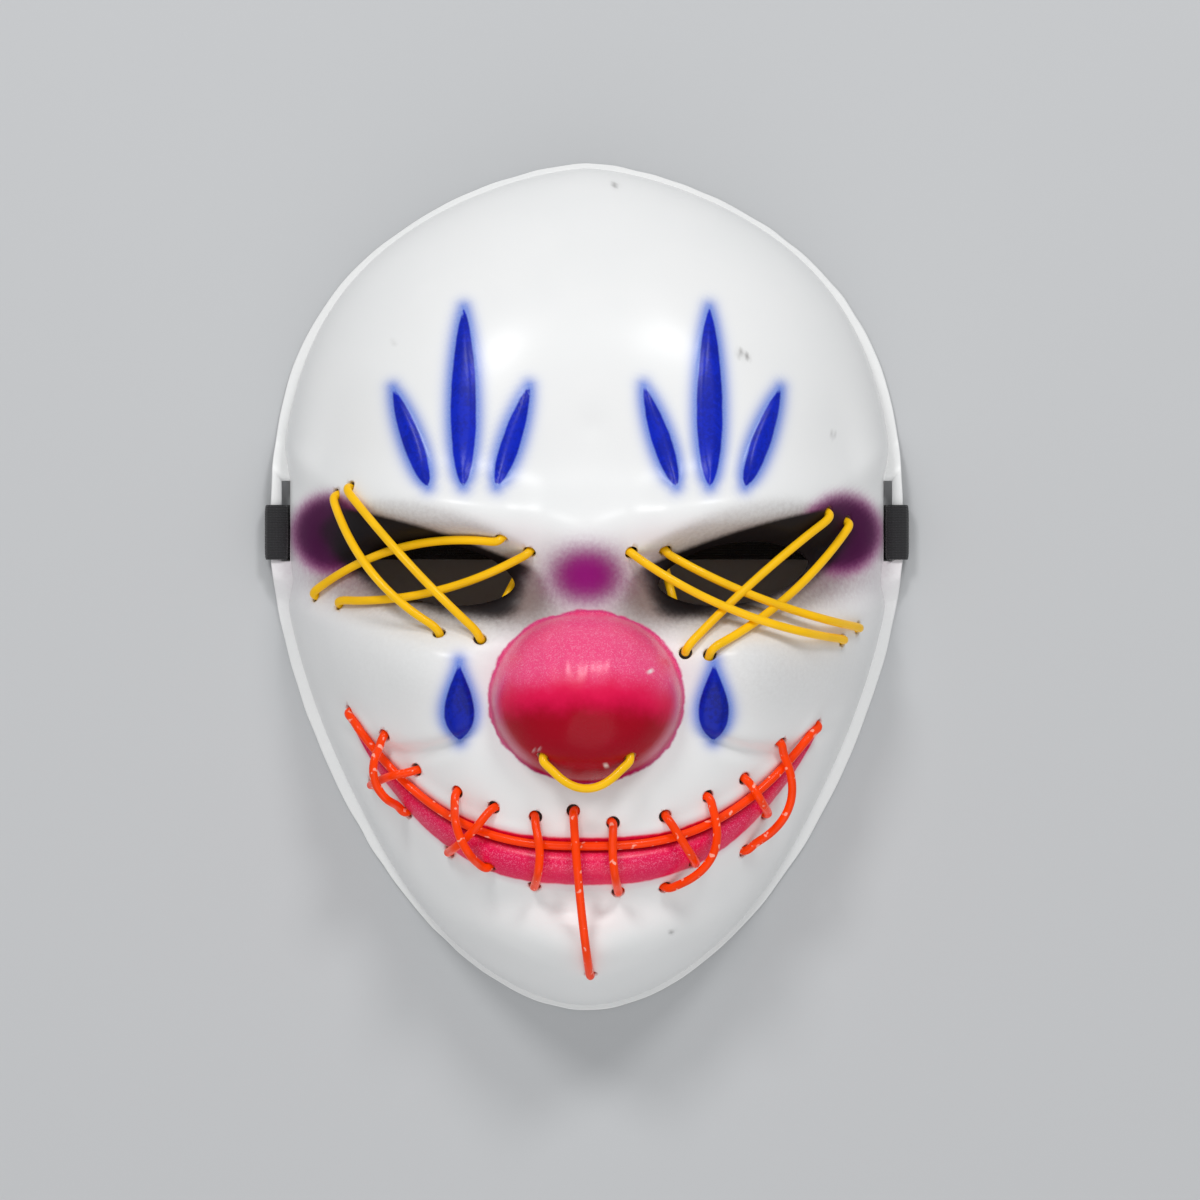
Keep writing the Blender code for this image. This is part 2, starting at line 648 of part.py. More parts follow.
def mesh_object(name, shape):
    """An object that holds a finished bmesh."""
    mesh = bpy.data.meshes.new(name)
    shape.to_mesh(mesh)
    shape.free()
    made = bpy.data.objects.new(name, mesh)
    bpy.context.scene.collection.objects.link(made)
    return made


def face_shell():
    """The moulded shell with its openings cut."""
    mesh = bpy.data.meshes.new("face_shell")
    points, faces = shell_mesh()
    mesh.from_pydata(points, [], faces)
    mesh.shade_smooth()
    mesh.set_sharp_from_angle(angle=math.radians(40.0))
    mesh.materials.append(material("white_shell", (0.86, 0.87, 0.87), 0.35))
    made = bpy.data.objects.new("face_shell", mesh)
    bpy.context.scene.collection.objects.link(made)
    cut = made.modifiers.new("openings", "BOOLEAN")
    cut.operation = "DIFFERENCE"
    cut.object = openings_cutter()
    return made


def arc(centre_x, centre_z, radius, start_deg, end_deg, steps=3):
    """Points on an arc in the band's side view."""
    turns = [math.radians(start_deg + (end_deg - start_deg) * i / steps) for i in range(steps + 1)]
    return [(centre_x + radius * math.cos(t), centre_z + radius * math.sin(t)) for t in turns]


def band_half_line():
    """The band's centre line in side view, from its sewn tail round the tab to the middle."""
    slot = slot_middle()
    bend = BAND_THICKNESS
    top = RIM_LIFT + WALL + BAND_GAP + BAND_THICKNESS / 2
    outside = slot + SLOT_WIDTH / 2 + TAB_WIDTH + BAND_GAP + BAND_THICKNESS / 2
    line = [(slot - bend - BAND_TAIL, BAND_HIGH)]
    line += arc(slot - bend, BAND_HIGH + bend, bend, -90, 0)
    line += arc(slot + bend, top - bend, bend, 180, 90)
    line += arc(outside - bend, top - bend, bend, 90, 0)
    line += arc(outside - bend, BAND_LOW + bend, bend, 0, -90)
    inner = slot - bend - BAND_TAIL - 2 * BAND_THICKNESS
    steps = 6 * BAND_HUMPS
    for step in range(steps + 1):
        x = inner * (1 - step / steps)
        swing = 1 - math.cos(math.pi * BAND_HUMPS * step / steps)
        line.append((x, BAND_LOW + BAND_WAVE * swing / 2))
    return line


def head_band():
    """The elastic band: one flat strip that loops round both tabs and waves between them."""
    half = band_half_line()
    line = half + [(-x, z) for x, z in half[-2::-1]]
    line = np.array(line)
    ahead = np.gradient(line, axis=0)
    ahead /= np.linalg.norm(ahead, axis=1, keepdims=True)
    normal = np.column_stack([-ahead[:, 1], ahead[:, 0]]) * BAND_THICKNESS / 2
    shape = bmesh.new()
    rings = []
    for (x, z), (nx, nz) in zip(line, normal):
        low, high = BAND_LEVEL - BAND_WIDTH / 2, BAND_LEVEL + BAND_WIDTH / 2
        corners = [(x + nx, low, z + nz), (x + nx, high, z + nz), (x - nx, high, z - nz), (x - nx, low, z - nz)]
        rings.append([shape.verts.new(corner) for corner in corners])
    shape.faces.new(rings[0])
    shape.faces.new(rings[-1][::-1])
    for before, after in zip(rings, rings[1:]):
        for index in range(4):
            follow = (index + 1) % 4
            shape.faces.new((before[index], before[follow], after[follow], after[index]))
    bmesh.ops.recalc_face_normals(shape, faces=shape.faces)
    made = mesh_object("head_band", shape)
    made.data.materials.append(material("black_elastic", (0.015, 0.015, 0.017), 0.85))
    return made


def main():
    """Builds every sub-part."""
    clear_scene()
    face_shell()
    eye_wire()
    mouth_wire()
    head_band()


main()
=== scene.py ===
"""Looks of a clown face mask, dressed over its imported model.

The mask lies face up on its rim: +Z points out of the face, +Y to the crown and +X to the right as
seen from the front. Lengths are in metres. Every new piece is a numpy surface of two parameters: the
shell is a polar grid round the nose, the wires and the band are profiles carried along a path.
"""

from __future__ import annotations

import logging
import math
from dataclasses import dataclass
from enum import Enum

import bpy
import numpy as np
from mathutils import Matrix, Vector

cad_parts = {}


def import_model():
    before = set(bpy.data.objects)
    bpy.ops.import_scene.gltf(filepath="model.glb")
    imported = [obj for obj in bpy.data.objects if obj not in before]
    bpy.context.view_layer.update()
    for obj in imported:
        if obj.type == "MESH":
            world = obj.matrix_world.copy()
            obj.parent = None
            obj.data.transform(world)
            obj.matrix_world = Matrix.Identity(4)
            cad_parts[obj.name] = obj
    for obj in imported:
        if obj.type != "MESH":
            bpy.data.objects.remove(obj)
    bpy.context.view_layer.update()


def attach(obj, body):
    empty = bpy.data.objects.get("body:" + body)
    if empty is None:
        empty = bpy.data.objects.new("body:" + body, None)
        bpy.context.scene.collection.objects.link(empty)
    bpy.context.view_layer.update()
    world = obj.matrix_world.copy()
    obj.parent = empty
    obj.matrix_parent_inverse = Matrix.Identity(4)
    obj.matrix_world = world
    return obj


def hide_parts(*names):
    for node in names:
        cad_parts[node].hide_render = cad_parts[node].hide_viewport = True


LOG = logging.getLogger("clown_mask")
Array = np.ndarray
MM = 0.001


# Plain maths


def smooth_step(value: Array) -> Array:
    """0 below 0, 1 above 1 and the S curve 3v^2 - 2v^3 between."""
    held = np.clip(value, 0.0, 1.0)
    return held * held * (3.0 - 2.0 * held)


def gauss(value: Array) -> Array:
    """The bell curve exp(-v^2 / 2)."""
    return np.exp(-0.5 * value * value)


def taut(share: Array, height: Array) -> Array:
    """The lowest line without hollows over some heights: at each place the highest chord counts.

    Args:
        share: Places along the line, from 0 to 1.
        height: The height at each place.

    Returns:
        The line's height at each place.
    """
    first, last, here = share[:, None, None], share[None, :, None], share[None, None, :]
    way = (here - first) / np.where(last > first, last - first, 1.0)
    chord = height[:, None, None] * (1.0 - way) + height[None, :, None] * way
    spans = (first <= here) & (here <= last) & (first < last)
    return np.maximum(np.where(spans, chord, -1.0).max((0, 1)), height)


def ripple(x: Array, y: Array, size: float, seed: int) -> Array:
    """A gentle unevenness between about -1 and 1.

    It is the mean of six sine waves, each in its own direction and near the given wavelength.

    Args:
        x: Positions along the first axis.
        y: Positions along the second axis.
        size: Mean wavelength, in the unit of x and y.
        seed: Picks the directions and phases.

    Returns:
        The unevenness at each position.
    """
    waves = 6
    draw = np.random.default_rng(seed)
    total = np.zeros(np.broadcast(x, y).shape)
    for _ in range(waves):
        heading, phase = draw.uniform(0, 2 * math.pi, 2)
        wave = 2 * math.pi / (size * draw.uniform(0.7, 1.5))
        total += np.sin(wave * (x * math.cos(heading) + y * math.sin(heading)) + phase)
    return 2 * total / waves


# The moulded face


@dataclass(frozen=True)
class Curve:
    """A fall from 1 to 0 that reads (1 - t^bend)^fullness."""

    bend: float
    fullness: float

    def at(self, t: Array) -> Array:
        """The curve's value at each share t of the way."""
        return (1.0 - np.clip(t, 0.0, 1.0) ** self.bend) ** self.fullness


@dataclass(frozen=True)
class Swelling:
    """One soft swelling or hollow: a bell over a tilted ellipse.

    x and spread_x are shares of the half width, y and spread_y of the half height, and height of the
    face's depth.
    """

    name: str
    x: float
    y: float
    spread_x: float
    spread_y: float
    tilt_deg: float
    height: float


SIDE_SWELLINGS = (
    Swelling("cheek", 0.52, -0.185, 0.190, 0.100, -12, 0.165),
    Swelling("eye_socket", 0.46, 0.035, 0.215, 0.078, 9, -0.225),
    Swelling("brow", 0.46, 0.175, 0.270, 0.052, 7, 0.120),
    Swelling("temple", 0.82, 0.290, 0.130, 0.130, 0, -0.060),
    Swelling("frontal", 0.32, 0.600, 0.250, 0.170, 0, 0.040),
    Swelling("muzzle", 0.26, -0.430, 0.200, 0.090, 25, 0.055),
    Swelling("smile_pouch", 0.855, -0.315, 0.050, 0.090, -20, 0.045),
    Swelling("cheek_hollow", 0.60, -0.600, 0.130, 0.110, 30, -0.060),
)
MIDDLE_SWELLINGS = (
    Swelling("bridge", 0.0, -0.010, 0.095, 0.130, 0, 0.110),
    Swelling("forehead_hollow", 0.0, 0.300, 0.110, 0.090, 0, -0.025),
    Swelling("under_lip", 0.0, -0.735, 0.290, 0.034, 0, -0.060),
    Swelling("chin", 0.0, -0.865, 0.250, 0.080, 0, 0.150),
)


@dataclass(frozen=True)
class BrowEdge:
    """The crisp lower edge of each brow, over an arch y = peak - fall ((|x| - middle) / half)^2.

    inner and outer say where the edge starts at the nose's side and at the temple's, and over what
    length it comes in there.
    """

    peak: float = 0.0155
    fall: float = 0.0090
    middle: float = 0.040
    half: float = 0.030
    rise: float = 3.0 * MM
    slope: float = 3.6 * MM
    fade: float = 0.013
    inner: tuple[float, float] = (0.010, 0.012)
    outer: tuple[float, float] = (0.074, 0.014)

    def relief(self, x: Array, y: Array) -> Array:
        """The edge steps up over its arch, and fades again above it.

        Args:
            x: Positions across the face.
            y: Positions up the face.

        Returns:
            The height to add.
        """
        side = np.abs(x)
        off = y - (self.peak - self.fall * ((side - self.middle) / self.half) ** 2)
        reach = smooth_step((side - self.inner[0]) / self.inner[1])
        reach = reach * smooth_step((self.outer[0] - side) / self.outer[1])
        edge = smooth_step(off / self.slope + 0.5) * np.exp(-np.maximum(off, 0.0) / self.fade)
        return self.rise * edge * reach


@dataclass(frozen=True)
class CheekFold:
    """The fold that runs from the nose's wing round the cheek to the corner of the smile.

    Its course is y = level - sag sin(pi (|x| - start) / run). inner and outer say where it starts
    and ends, and over what length it comes in there. dimple is the place at the smile's corner.
    """

    level: float = -0.0385
    sag: float = 0.0060
    start: float = 0.028
    run: float = 0.040
    height: float = 1.9 * MM
    spread: float = 1.7 * MM
    slope: float = 3 * MM
    fade: float = 0.011
    inner: tuple[float, float] = (0.026, 0.010)
    outer: tuple[float, float] = (0.073, 0.012)
    dimple: tuple[float, float] = (0.0665, -0.0340)
    dimple_depth: float = 1.8 * MM
    dimple_spread: float = 3.2 * MM

    def relief(self, x: Array, y: Array) -> Array:
        """A bell-shaped crease, a shelf that fades above it and a dimple at its end.

        Args:
            x: Positions across the face.
            y: Positions up the face.

        Returns:
            The height to add.
        """
        side = np.abs(x)
        off = y - (self.level - self.sag * np.sin((side - self.start) / self.run * math.pi))
        reach = smooth_step((side - self.inner[0]) / self.inner[1])
        reach = reach * smooth_step((self.outer[0] - side) / self.outer[1])
        crease = -self.height * gauss(off / self.spread)
        shelf = self.height * smooth_step(off / self.slope) * np.exp(-np.maximum(off, 0.0) / self.fade)
        away = np.hypot(side - self.dimple[0], y - self.dimple[1])
        return (crease + shelf) * reach - self.dimple_depth * gauss(away / self.dimple_spread)


@dataclass(frozen=True)
class SmallForms:
    """The faint dimple on the forehead, the chin's cleft and the moulding's unevenness."""

    depth: float = 0.5 * MM
    dimple: tuple[float, float] = (1.4 * MM, 0.043)
    dimple_spread: float = 2.2 * MM
    cleft_level: float = -0.101
    cleft_spread: tuple[float, float] = (2.5 * MM, 5 * MM)
    uneven: float = 0.12 * MM
    uneven_size: float = 0.021
    uneven_seed: int = 3

    def relief(self, x: Array, y: Array) -> Array:
        """Two bells pressed into the face, and the unevenness over all of it.

        Args:
            x: Positions across the face.
            y: Positions up the face.

        Returns:
            The height to add.
        """
        away = np.hypot(x - self.dimple[0], y - self.dimple[1])
        dimple = -self.depth * gauss(away / self.dimple_spread)
        wide, tall = self.cleft_spread
        cleft = -self.depth * gauss(x / wide) * gauss((y - self.cleft_level) / tall)
        return dimple + cleft + self.uneven * ripple(x, y, self.uneven_size, self.uneven_seed)


@dataclass(frozen=True)
class NoseSkin:
    """The nose's soft lumps, and the moulded streaks that run up its upper half."""

    lump: float = 0.30 * MM
    lump_size: float = 0.012
    lump_seed: int = 8
    streak: float = 0.24 * MM
    streak_size: float = 0.0058
    streak_phase: float = 0.8
    streak_rise: float = 0.012
    reach: float = 1.2

    def relief(self, x: Array, y: Array, above: Array, out: Array) -> Array:
        """Lumps and sine streaks that fade outside the ball's edge.

        Args:
            x: Positions across the face.
            y: Positions up the face.
            above: Height of each position over the nose's middle.
            out: Distance from the nose's middle, 1 at its edge.

        Returns:
            The height to add.
        """
        inside = np.clip(self.reach - out, 0.0, 1.0)
        lumps = self.lump * ripple(x, y, self.lump_size, self.lump_seed) * inside
        streaks = np.sin(2 * math.pi * x / self.streak_size + self.streak_phase)
        return lumps + self.streak * (streaks * smooth_step(above / self.streak_rise)) * inside


@dataclass(frozen=True)
class FaceForm:
    """The moulded face as a height over the plane that it lies on."""

    width: float = 0.173
    height: float = 0.232
    depth: float = 0.058
    wall: float = 0.0015
    widest: float = 0.010
    flange: float = 0.0032
    end_flange: float = 0.0014
    narrowing: tuple[float, float] = (0.45, 0.85)
    slot_flange: float = 0.0062
    slot_level: float = 0.018
    slot_width: float = 0.0024
    slot_length: float = 0.022
    slot_margin: float = 0.002
    tab: float = 0.0030
    rim_lift: float = 0.0040
    turn_length: float = 0.035
    crown_outline: Curve = Curve(3.0, 0.64)
    jaw_outline: Curve = Curve(1.55, 0.54)
    crown_bend: float = 3.2
    side_bend: float = 2.4
    jaw_bend: float = 3.4
    fullness: float = 0.55
    nose_level: float = -0.0295
    nose_half: tuple[float, float] = (0.0255, 0.0225)
    nose_out: float = 0.0250
    nose_fillet: float = 0.0030
    eye_half: tuple[float, float] = (0.0205, 0.00825)
    eye_at: tuple[float, float] = (0.0395, 0.0035)
    eye_tilt: float = math.radians(9.0)
    smile_half: float = 0.0650
    smile_level: float = -0.0700
    smile_rise: float = 0.0360
    smile_bend: float = 2.7
    lip_half: float = 0.0600
    lip_half_height: float = 0.0058
    lip_rise: float = 0.0032
    seam_depth: float = 0.0016
    seam_spread: float = 0.0017
    upper_rise: float = 0.9 * MM
    upper_off: float = 3.2 * MM
    upper_spread: float = 1.5 * MM
    lid_rise: float = 0.9 * MM
    lid_off: float = 1.6 * MM
    lid_spread: float = 1.2 * MM
    middle_round: float = 0.0060
    edge_fade: float = 0.14

    def half_width(self, y: Array) -> Array:
        """Half width of the outline at each height y, by the crown's or the jaw's curve.

        Args:
            y: Positions up the face.

        Returns:
            The half width at each height.
        """
        up = (y - self.widest) / (self.height / 2 - self.widest)
        down = (self.widest - y) / (self.height / 2 + self.widest)
        share = np.where(y >= self.widest, self.crown_outline.at(up), self.jaw_outline.at(down))
        return self.width / 2 * share

    def rim(self, count: int) -> Array:
        """Points of the outline, anticlockwise from the chin.

        They are spaced by length, to which each radian of turning adds turn_length. The shell's sheet
        makes the trimmed edge waver by about a tenth of a millimetre.

        Args:
            count: How many points, an even number.

        Returns:
            The points as [point, xy].
        """
        turn = np.linspace(-math.pi / 2, math.pi / 2, 2001)
        reach = np.where(turn > 0, self.height / 2 - self.widest, self.height / 2 + self.widest)
        y = self.widest + reach * np.sin(turn)
        x = self.half_width(y)
        heading = np.unwrap(np.arctan2(np.diff(y), np.diff(x)))
        steps = np.hypot(np.diff(x), np.diff(y))
        steps += self.turn_length * np.abs(np.diff(heading, prepend=0.0))
        length = np.concatenate([[0.0], np.cumsum(steps)])
        stops = np.linspace(0.0, length[-1], count // 2 + 1)
        right = np.stack([np.interp(stops, length, x), np.interp(stops, length, y)], axis=1)
        return np.concatenate([right, right[-2:0:-1] * (-1.0, 1.0)])

    def slot_share(self, points: Array) -> Array:
        """1 beside the band's slots and 0 some way above and below them.

        Args:
            points: Places as [..., xy].

        Returns:
            The share at each place.
        """
        reach = self.slot_length / 2 + self.slot_margin
        away = np.abs(points[..., 1] - self.slot_level) - reach
        beside = np.abs(points[..., 0]) > self.width / 4
        return np.where(beside, 1.0 - smooth_step(away / (self.slot_length / 2)), 0.0)

    def slot_edge(self) -> float:
        """Distance of the slots' outer edge from the face's middle."""
        return float(self.half_width(np.array(self.slot_level))) - self.tab

    def foot(self, rim: Array) -> Array:
        """Where the outer wall meets the flange, for each point of the rim.

        Args:
            rim: Points of the rim as [point, xy].

        Returns:
            The wall's foot at each of them.
        """
        inward = (0.0, self.nose_level) - rim
        inward /= np.linalg.norm(inward, axis=1, keepdims=True)
        start, end = self.narrowing
        narrowed = smooth_step((2 * np.abs(rim[:, 1]) / self.height - start) / (end - start))
        width = self.flange + (self.end_flange - self.flange) * narrowed
        width = width + (self.slot_flange - self.flange) * self.slot_share(rim)
        return rim + inward * width[:, None]

    def polar(self, x: Array, y: Array) -> tuple[Array, Array]:
        """Share of the way from the nose to the wall's foot, and the angle round the nose.

        Args:
            x: Positions across the face.
            y: Positions up the face.

        Returns:
            The share and the angle at each position.
        """
        spokes = self.foot(self.rim(720)) - (0.0, self.nose_level)
        angles = np.unwrap(np.arctan2(spokes[:, 1], spokes[:, 0]))
        reach = np.linalg.norm(spokes, axis=1)
        angle = np.arctan2(y - self.nose_level, x)
        turned = np.mod(angle - angles[0], 2 * math.pi) + angles[0]
        around = np.append(angles, angles[0] + 2 * math.pi)
        far = np.interp(turned, around, np.append(reach, reach[0]))
        return np.hypot(x, y - self.nose_level) / far, angle

    def dome(self, share: Array, angle: Array) -> Array:
        """The plain dome, (1 - share^bend)^fullness, with its own bend to crown, side and jaw.

        Args:
            share: Share of the way from the nose to the wall's foot.
            angle: Angle round the nose.

        Returns:
            The dome's height as a share of the face's depth.
        """
        crown = np.maximum(np.sin(angle), 0.0) ** 2
        jaw = np.maximum(-np.sin(angle), 0.0) ** 2
        bend = self.side_bend + crown * (self.crown_bend - self.side_bend)
        bend = bend + jaw * (self.jaw_bend - self.side_bend)
        return (1.0 - np.clip(share, 0.0, 1.0) ** bend) ** self.fullness

    def swelling(self, x: Array, y: Array, row: Swelling) -> Array:
        """One swelling: height times a bell over its tilted ellipse.

        Args:
            x: Positions across the face.
            y: Positions up the face.
            row: The swelling.

        Returns:
            The height to add.
        """
        tilt = math.radians(row.tilt_deg)
        dx = x - row.x * self.width / 2
        dy = y - row.y * self.height / 2
        along = (dx * math.cos(tilt) + dy * math.sin(tilt)) / (row.spread_x * self.width / 2)
        across = (dy * math.cos(tilt) - dx * math.sin(tilt)) / (row.spread_y * self.height / 2)
        return row.height * self.depth * np.exp(-0.5 * (along**2 + across**2))

    def seam(self, x: Array) -> Array:
        """Height of the smile's seam: a rise that grows with the power smile_bend of |x|."""
        return self.smile_level + self.smile_rise * (np.abs(x) / self.smile_half) ** self.smile_bend

    def mouth(self, x: Array, y: Array) -> Array:
        """The seam's groove, the rolled lower lip and the thin upper lip.

        The groove is a bell across the seam. The lower lip is a rounded ridge whose half height
        shrinks to nothing at its ends, and the upper lip a slight ridge over the seam.

        Args:
            x: Positions across the face.
            y: Positions up the face.

        Returns:
            The height to add.
        """
        off = y - self.seam(x)
        end = smooth_step((self.smile_half - np.abs(x)) / (3 * self.seam_spread))
        groove = -self.seam_depth * gauss(off / self.seam_spread) * end
        full = np.sqrt(np.clip(1.0 - (x / self.lip_half) ** 2, 0.0, 1.0))
        half = np.maximum(self.lip_half_height * full, 1e-5)
        across = (off + 0.85 * half) / half
        lower = self.lip_rise * full * np.clip(1.0 - across**2, 0.0, 1.0) ** 0.75
        upper = self.upper_rise * gauss((off - self.upper_off) / self.upper_spread) * end
        return groove + lower + upper

    def eye_frame(self, x: Array, y: Array) -> tuple[Array, Array]:
        """Position along and across the nearer eye opening, outer corner positive.

        Args:
            x: Positions across the face.
            y: Positions up the face.

        Returns:
            The positions along and across.
        """
        dx, dy = np.abs(x) - self.eye_at[0], y - self.eye_at[1]
        cos, sin = math.cos(self.eye_tilt), math.sin(self.eye_tilt)
        return dx * cos + dy * sin, dy * cos - dx * sin

    def off_eye(self, x: Array, y: Array) -> Array:
        """Rough distance outside the edge of the nearer eye opening, negative inside it.

        Args:
            x: Positions across the face.
            y: Positions up the face.

        Returns:
            The distance at each position.
        """
        along, across = self.eye_frame(x, y)
        level = np.hypot(along / self.eye_half[0], (np.abs(across) / self.eye_half[1]) ** 0.8)
        stretch = np.hypot(along, across) / np.maximum(level, 1e-6)
        return (level - 1.0) * stretch

    def lids(self, x: Array, y: Array) -> Array:
        """The rolled lid round each opening, a bell of the distance off the opening."""
        return self.lid_rise * gauss((self.off_eye(x, y) - self.lid_off) / self.lid_spread)

    def nose(self, x: Array, y: Array) -> Array:
        """Top of the nose ball: a half ellipsoid that falls steeply away outside its edge.

        Args:
            x: Positions across the face.
            y: Positions up the face.

        Returns:
            The height over the flange.
        """
        out = np.hypot(x / self.nose_half[0], (y - self.nose_level) / self.nose_half[1])
        ball = np.sqrt(np.clip(1.0 - out**2, 0.0, 1.0)) - 2.0 * np.maximum(out - 1.0, 0.0)
        skin = NoseSkin().relief(x, y, y - self.nose_level, out)
        return self.depth + self.nose_out * ball + skin

    def over_flange(self, x: Array, y: Array) -> Array:
        """Height of the outer face over the flange: dome, relief and nose, smoothly joined.

        Args:
            x: Positions across the face.
            y: Positions up the face.

        Returns:
            The height at each position.
        """
        share, angle = self.polar(x, y)
        side = np.hypot(x, self.middle_round)
        relief = sum(self.swelling(side, y, row) for row in SIDE_SWELLINGS)
        relief = relief + sum(self.swelling(x, y, row) for row in MIDDLE_SWELLINGS)
        relief = relief + self.mouth(x, y) + self.lids(x, y) + BrowEdge().relief(x, y)
        relief = relief + CheekFold().relief(x, y) + SmallForms().relief(x, y) + Marks.relief(x, y)
        face = self.dome(share, angle) * (self.depth - self.wall)
        face = face + relief * smooth_step((1.0 - share) / self.edge_fade)
        ball = self.nose(x, y) - self.wall
        blend = np.clip(0.5 + 0.5 * (ball - face) / self.nose_fillet, 0.0, 1.0)
        return face + (ball - face) * blend + self.nose_fillet * blend * (1.0 - blend)

    def level(self, x: Array, y: Array) -> Array:
        """Height of the outer face over the resting plane.

        Args:
            x: Positions across the face.
            y: Positions up the face.

        Returns:
            The height at each position.
        """
        over = self.over_flange(x, y)
        lift = self.rim_lift * self.slot_share(np.stack([x, y], axis=-1))
        return over + self.wall + lift * (1.0 - smooth_step(over / (self.depth / 2)))

    def normal(self, x: Array, y: Array, step: float = 0.0004) -> Array:
        """Unit normals of the outer face, from the slopes over a small step.

        Args:
            x: Positions across the face.
            y: Positions up the face.
            step: How far apart the heights are taken.

        Returns:
            The normals as [..., xyz].
        """
        slope_x = (self.level(x + step, y) - self.level(x - step, y)) / (2 * step)
        slope_y = (self.level(x, y + step) - self.level(x, y - step)) / (2 * step)
        normal = np.stack([-slope_x, -slope_y, np.ones_like(slope_x)], axis=-1)
        return normal / np.linalg.norm(normal, axis=-1, keepdims=True)

    def rest(self, x: Array, y: Array, radius: float | Array, inside: bool = False) -> Array:
        """Height at which a ball rests on the outer face, or hangs under the inner one.

        The ball's centre lies sqrt(r^2 - d^2) off the face's height at each distance d, and the
        farthest such height counts. Under the inner face the ball grows by the wall.

        Args:
            x: Positions across the face.
            y: Positions up the face.
            radius: The ball's radius.
            inside: Whether it hangs under the inner face.

        Returns:
            The height of the ball's middle.
        """
        reach = np.array([0.0, 0.35, 0.65, 0.9])[:, None]
        turn = np.arange(12)[None, :] * math.pi / 6 + reach
        radius = np.broadcast_to(np.asarray(radius, float), np.shape(x))[..., None, None]
        radius = radius + (self.wall if inside else 0.0)
        dx, dy = reach * np.cos(turn) * radius, reach * np.sin(turn) * radius
        face = self.level(x[..., None, None] + dx, y[..., None, None] + dy)
        rise = radius * np.sqrt(1.0 - reach**2)
        return (face - rise).min((-1, -2)) if inside else (face + rise).max((-1, -2))


@dataclass(frozen=True)
class Petal:
    """A raised painted mark, pointed at both ends.

    At the share t of its length the half width is half * (4s(1-s))^0.8, with s = t^lean.
    """

    x: float
    y: float
    heading_deg: float
    length: float
    half: float
    lean: float

    def off(self, x: Array, y: Array) -> Array:
        """Rough distance outside the mark's edge, negative inside it.

        Args:
            x: Positions across the face.
            y: Positions up the face.

        Returns:
            The distance at each position.
        """
        heading = math.radians(self.heading_deg)
        dx, dy = x - self.x, y - self.y
        along = (dx * math.cos(heading) + dy * math.sin(heading)) / self.length
        across = np.abs(dy * math.cos(heading) - dx * math.sin(heading))
        share = np.clip(along, 0.0, 1.0) ** self.lean
        half = self.half * np.clip(4 * share * (1 - share), 0.0, 1.0) ** 0.8
        past = np.maximum(np.maximum(-along, along - 1.0), 0.0) * self.length
        outside = np.hypot(past, np.maximum(across - half, 0.0))
        return outside - np.minimum(half - across, half).clip(0)


class Marks:
    """The blue painted marks: three rays over each brow and a drop under each eye."""

    PETALS = (
        Petal(0.0330, 0.0270, 90.0, 0.0480, 0.0034, 0.80),
        Petal(0.0240, 0.0270, 108.0, 0.0280, 0.0025, 0.80),
        Petal(0.0425, 0.0270, 70.0, 0.0280, 0.0025, 0.80),
        Petal(0.0340, -0.0200, -90.0, 0.0210, 0.0040, 1.60),
    )
    RISE = 0.9 * MM
    SLOPE = 2.0 * MM

    @classmethod
    def off(cls, x: Array, y: Array) -> Array:
        """Distance outside the nearest mark, on both sides of the face."""
        return np.min([petal.off(np.abs(x), y) for petal in cls.PETALS], axis=0)

    @classmethod
    def relief(cls, x: Array, y: Array) -> Array:
        """Each mark stands about a millimetre proud, with sloped edges."""
        return cls.RISE * smooth_step(0.25 - cls.off(x, y) / cls.SLOPE)


# Shader maths


class Num:
    """A number in a material: its arithmetic adds Math nodes."""

    def __init__(self, nodes: Nodes, socket: bpy.types.NodeSocket) -> None:
        """Wraps one output socket."""
        self.nodes = nodes
        self.socket = socket

    def math(self, operation: str, *others: Num | float, first: bool = True) -> Num:
        """Adds a Math node.

        Args:
            operation: The node's operation.
            others: Its other values.
            first: Whether this number comes before them.

        Returns:
            The node's result.
        """
        values = [self, *others] if first else [*others, self]
        inputs = dict(enumerate(values))
        return self.nodes.add("ShaderNodeMath", {"operation": operation}, inputs)

    def __add__(self, other: Num | float) -> Num:
        """Sum."""
        return self.math("ADD", other)

    __radd__ = __add__

    def __mul__(self, other: Num | float) -> Num:
        """Product."""
        return self.math("MULTIPLY", other)

    __rmul__ = __mul__

    def __sub__(self, other: Num | float) -> Num:
        """Difference."""
        return self.math("SUBTRACT", other)

    def __rsub__(self, other: float) -> Num:
        """Difference with this number last."""
        return self.math("SUBTRACT", other, first=False)

    def __truediv__(self, other: Num | float) -> Num:
        """Quotient."""
        return self.math("DIVIDE", other)

    def __neg__(self) -> Num:
        """Negative."""
        return self * -1.0

    def over(self, low: float, high: float) -> Num:
        """Smooth rise from 0 at low to 1 at high, or a fall where low is the greater.

        Args:
            low: Where the result is 0.
            high: Where it is 1.

        Returns:
            The node's result.
        """
        settings = {"interpolation_type": "SMOOTHSTEP"}
        if low < high:
            ends = {"From Min": low, "From Max": high, "To Min": 0.0, "To Max": 1.0}
        else:
            ends = {"From Min": high, "From Max": low, "To Min": 1.0, "To Max": 0.0}
        return self.nodes.add("ShaderNodeMapRange", settings, {"Value": self, **ends})


Colour = tuple[float, float, float]


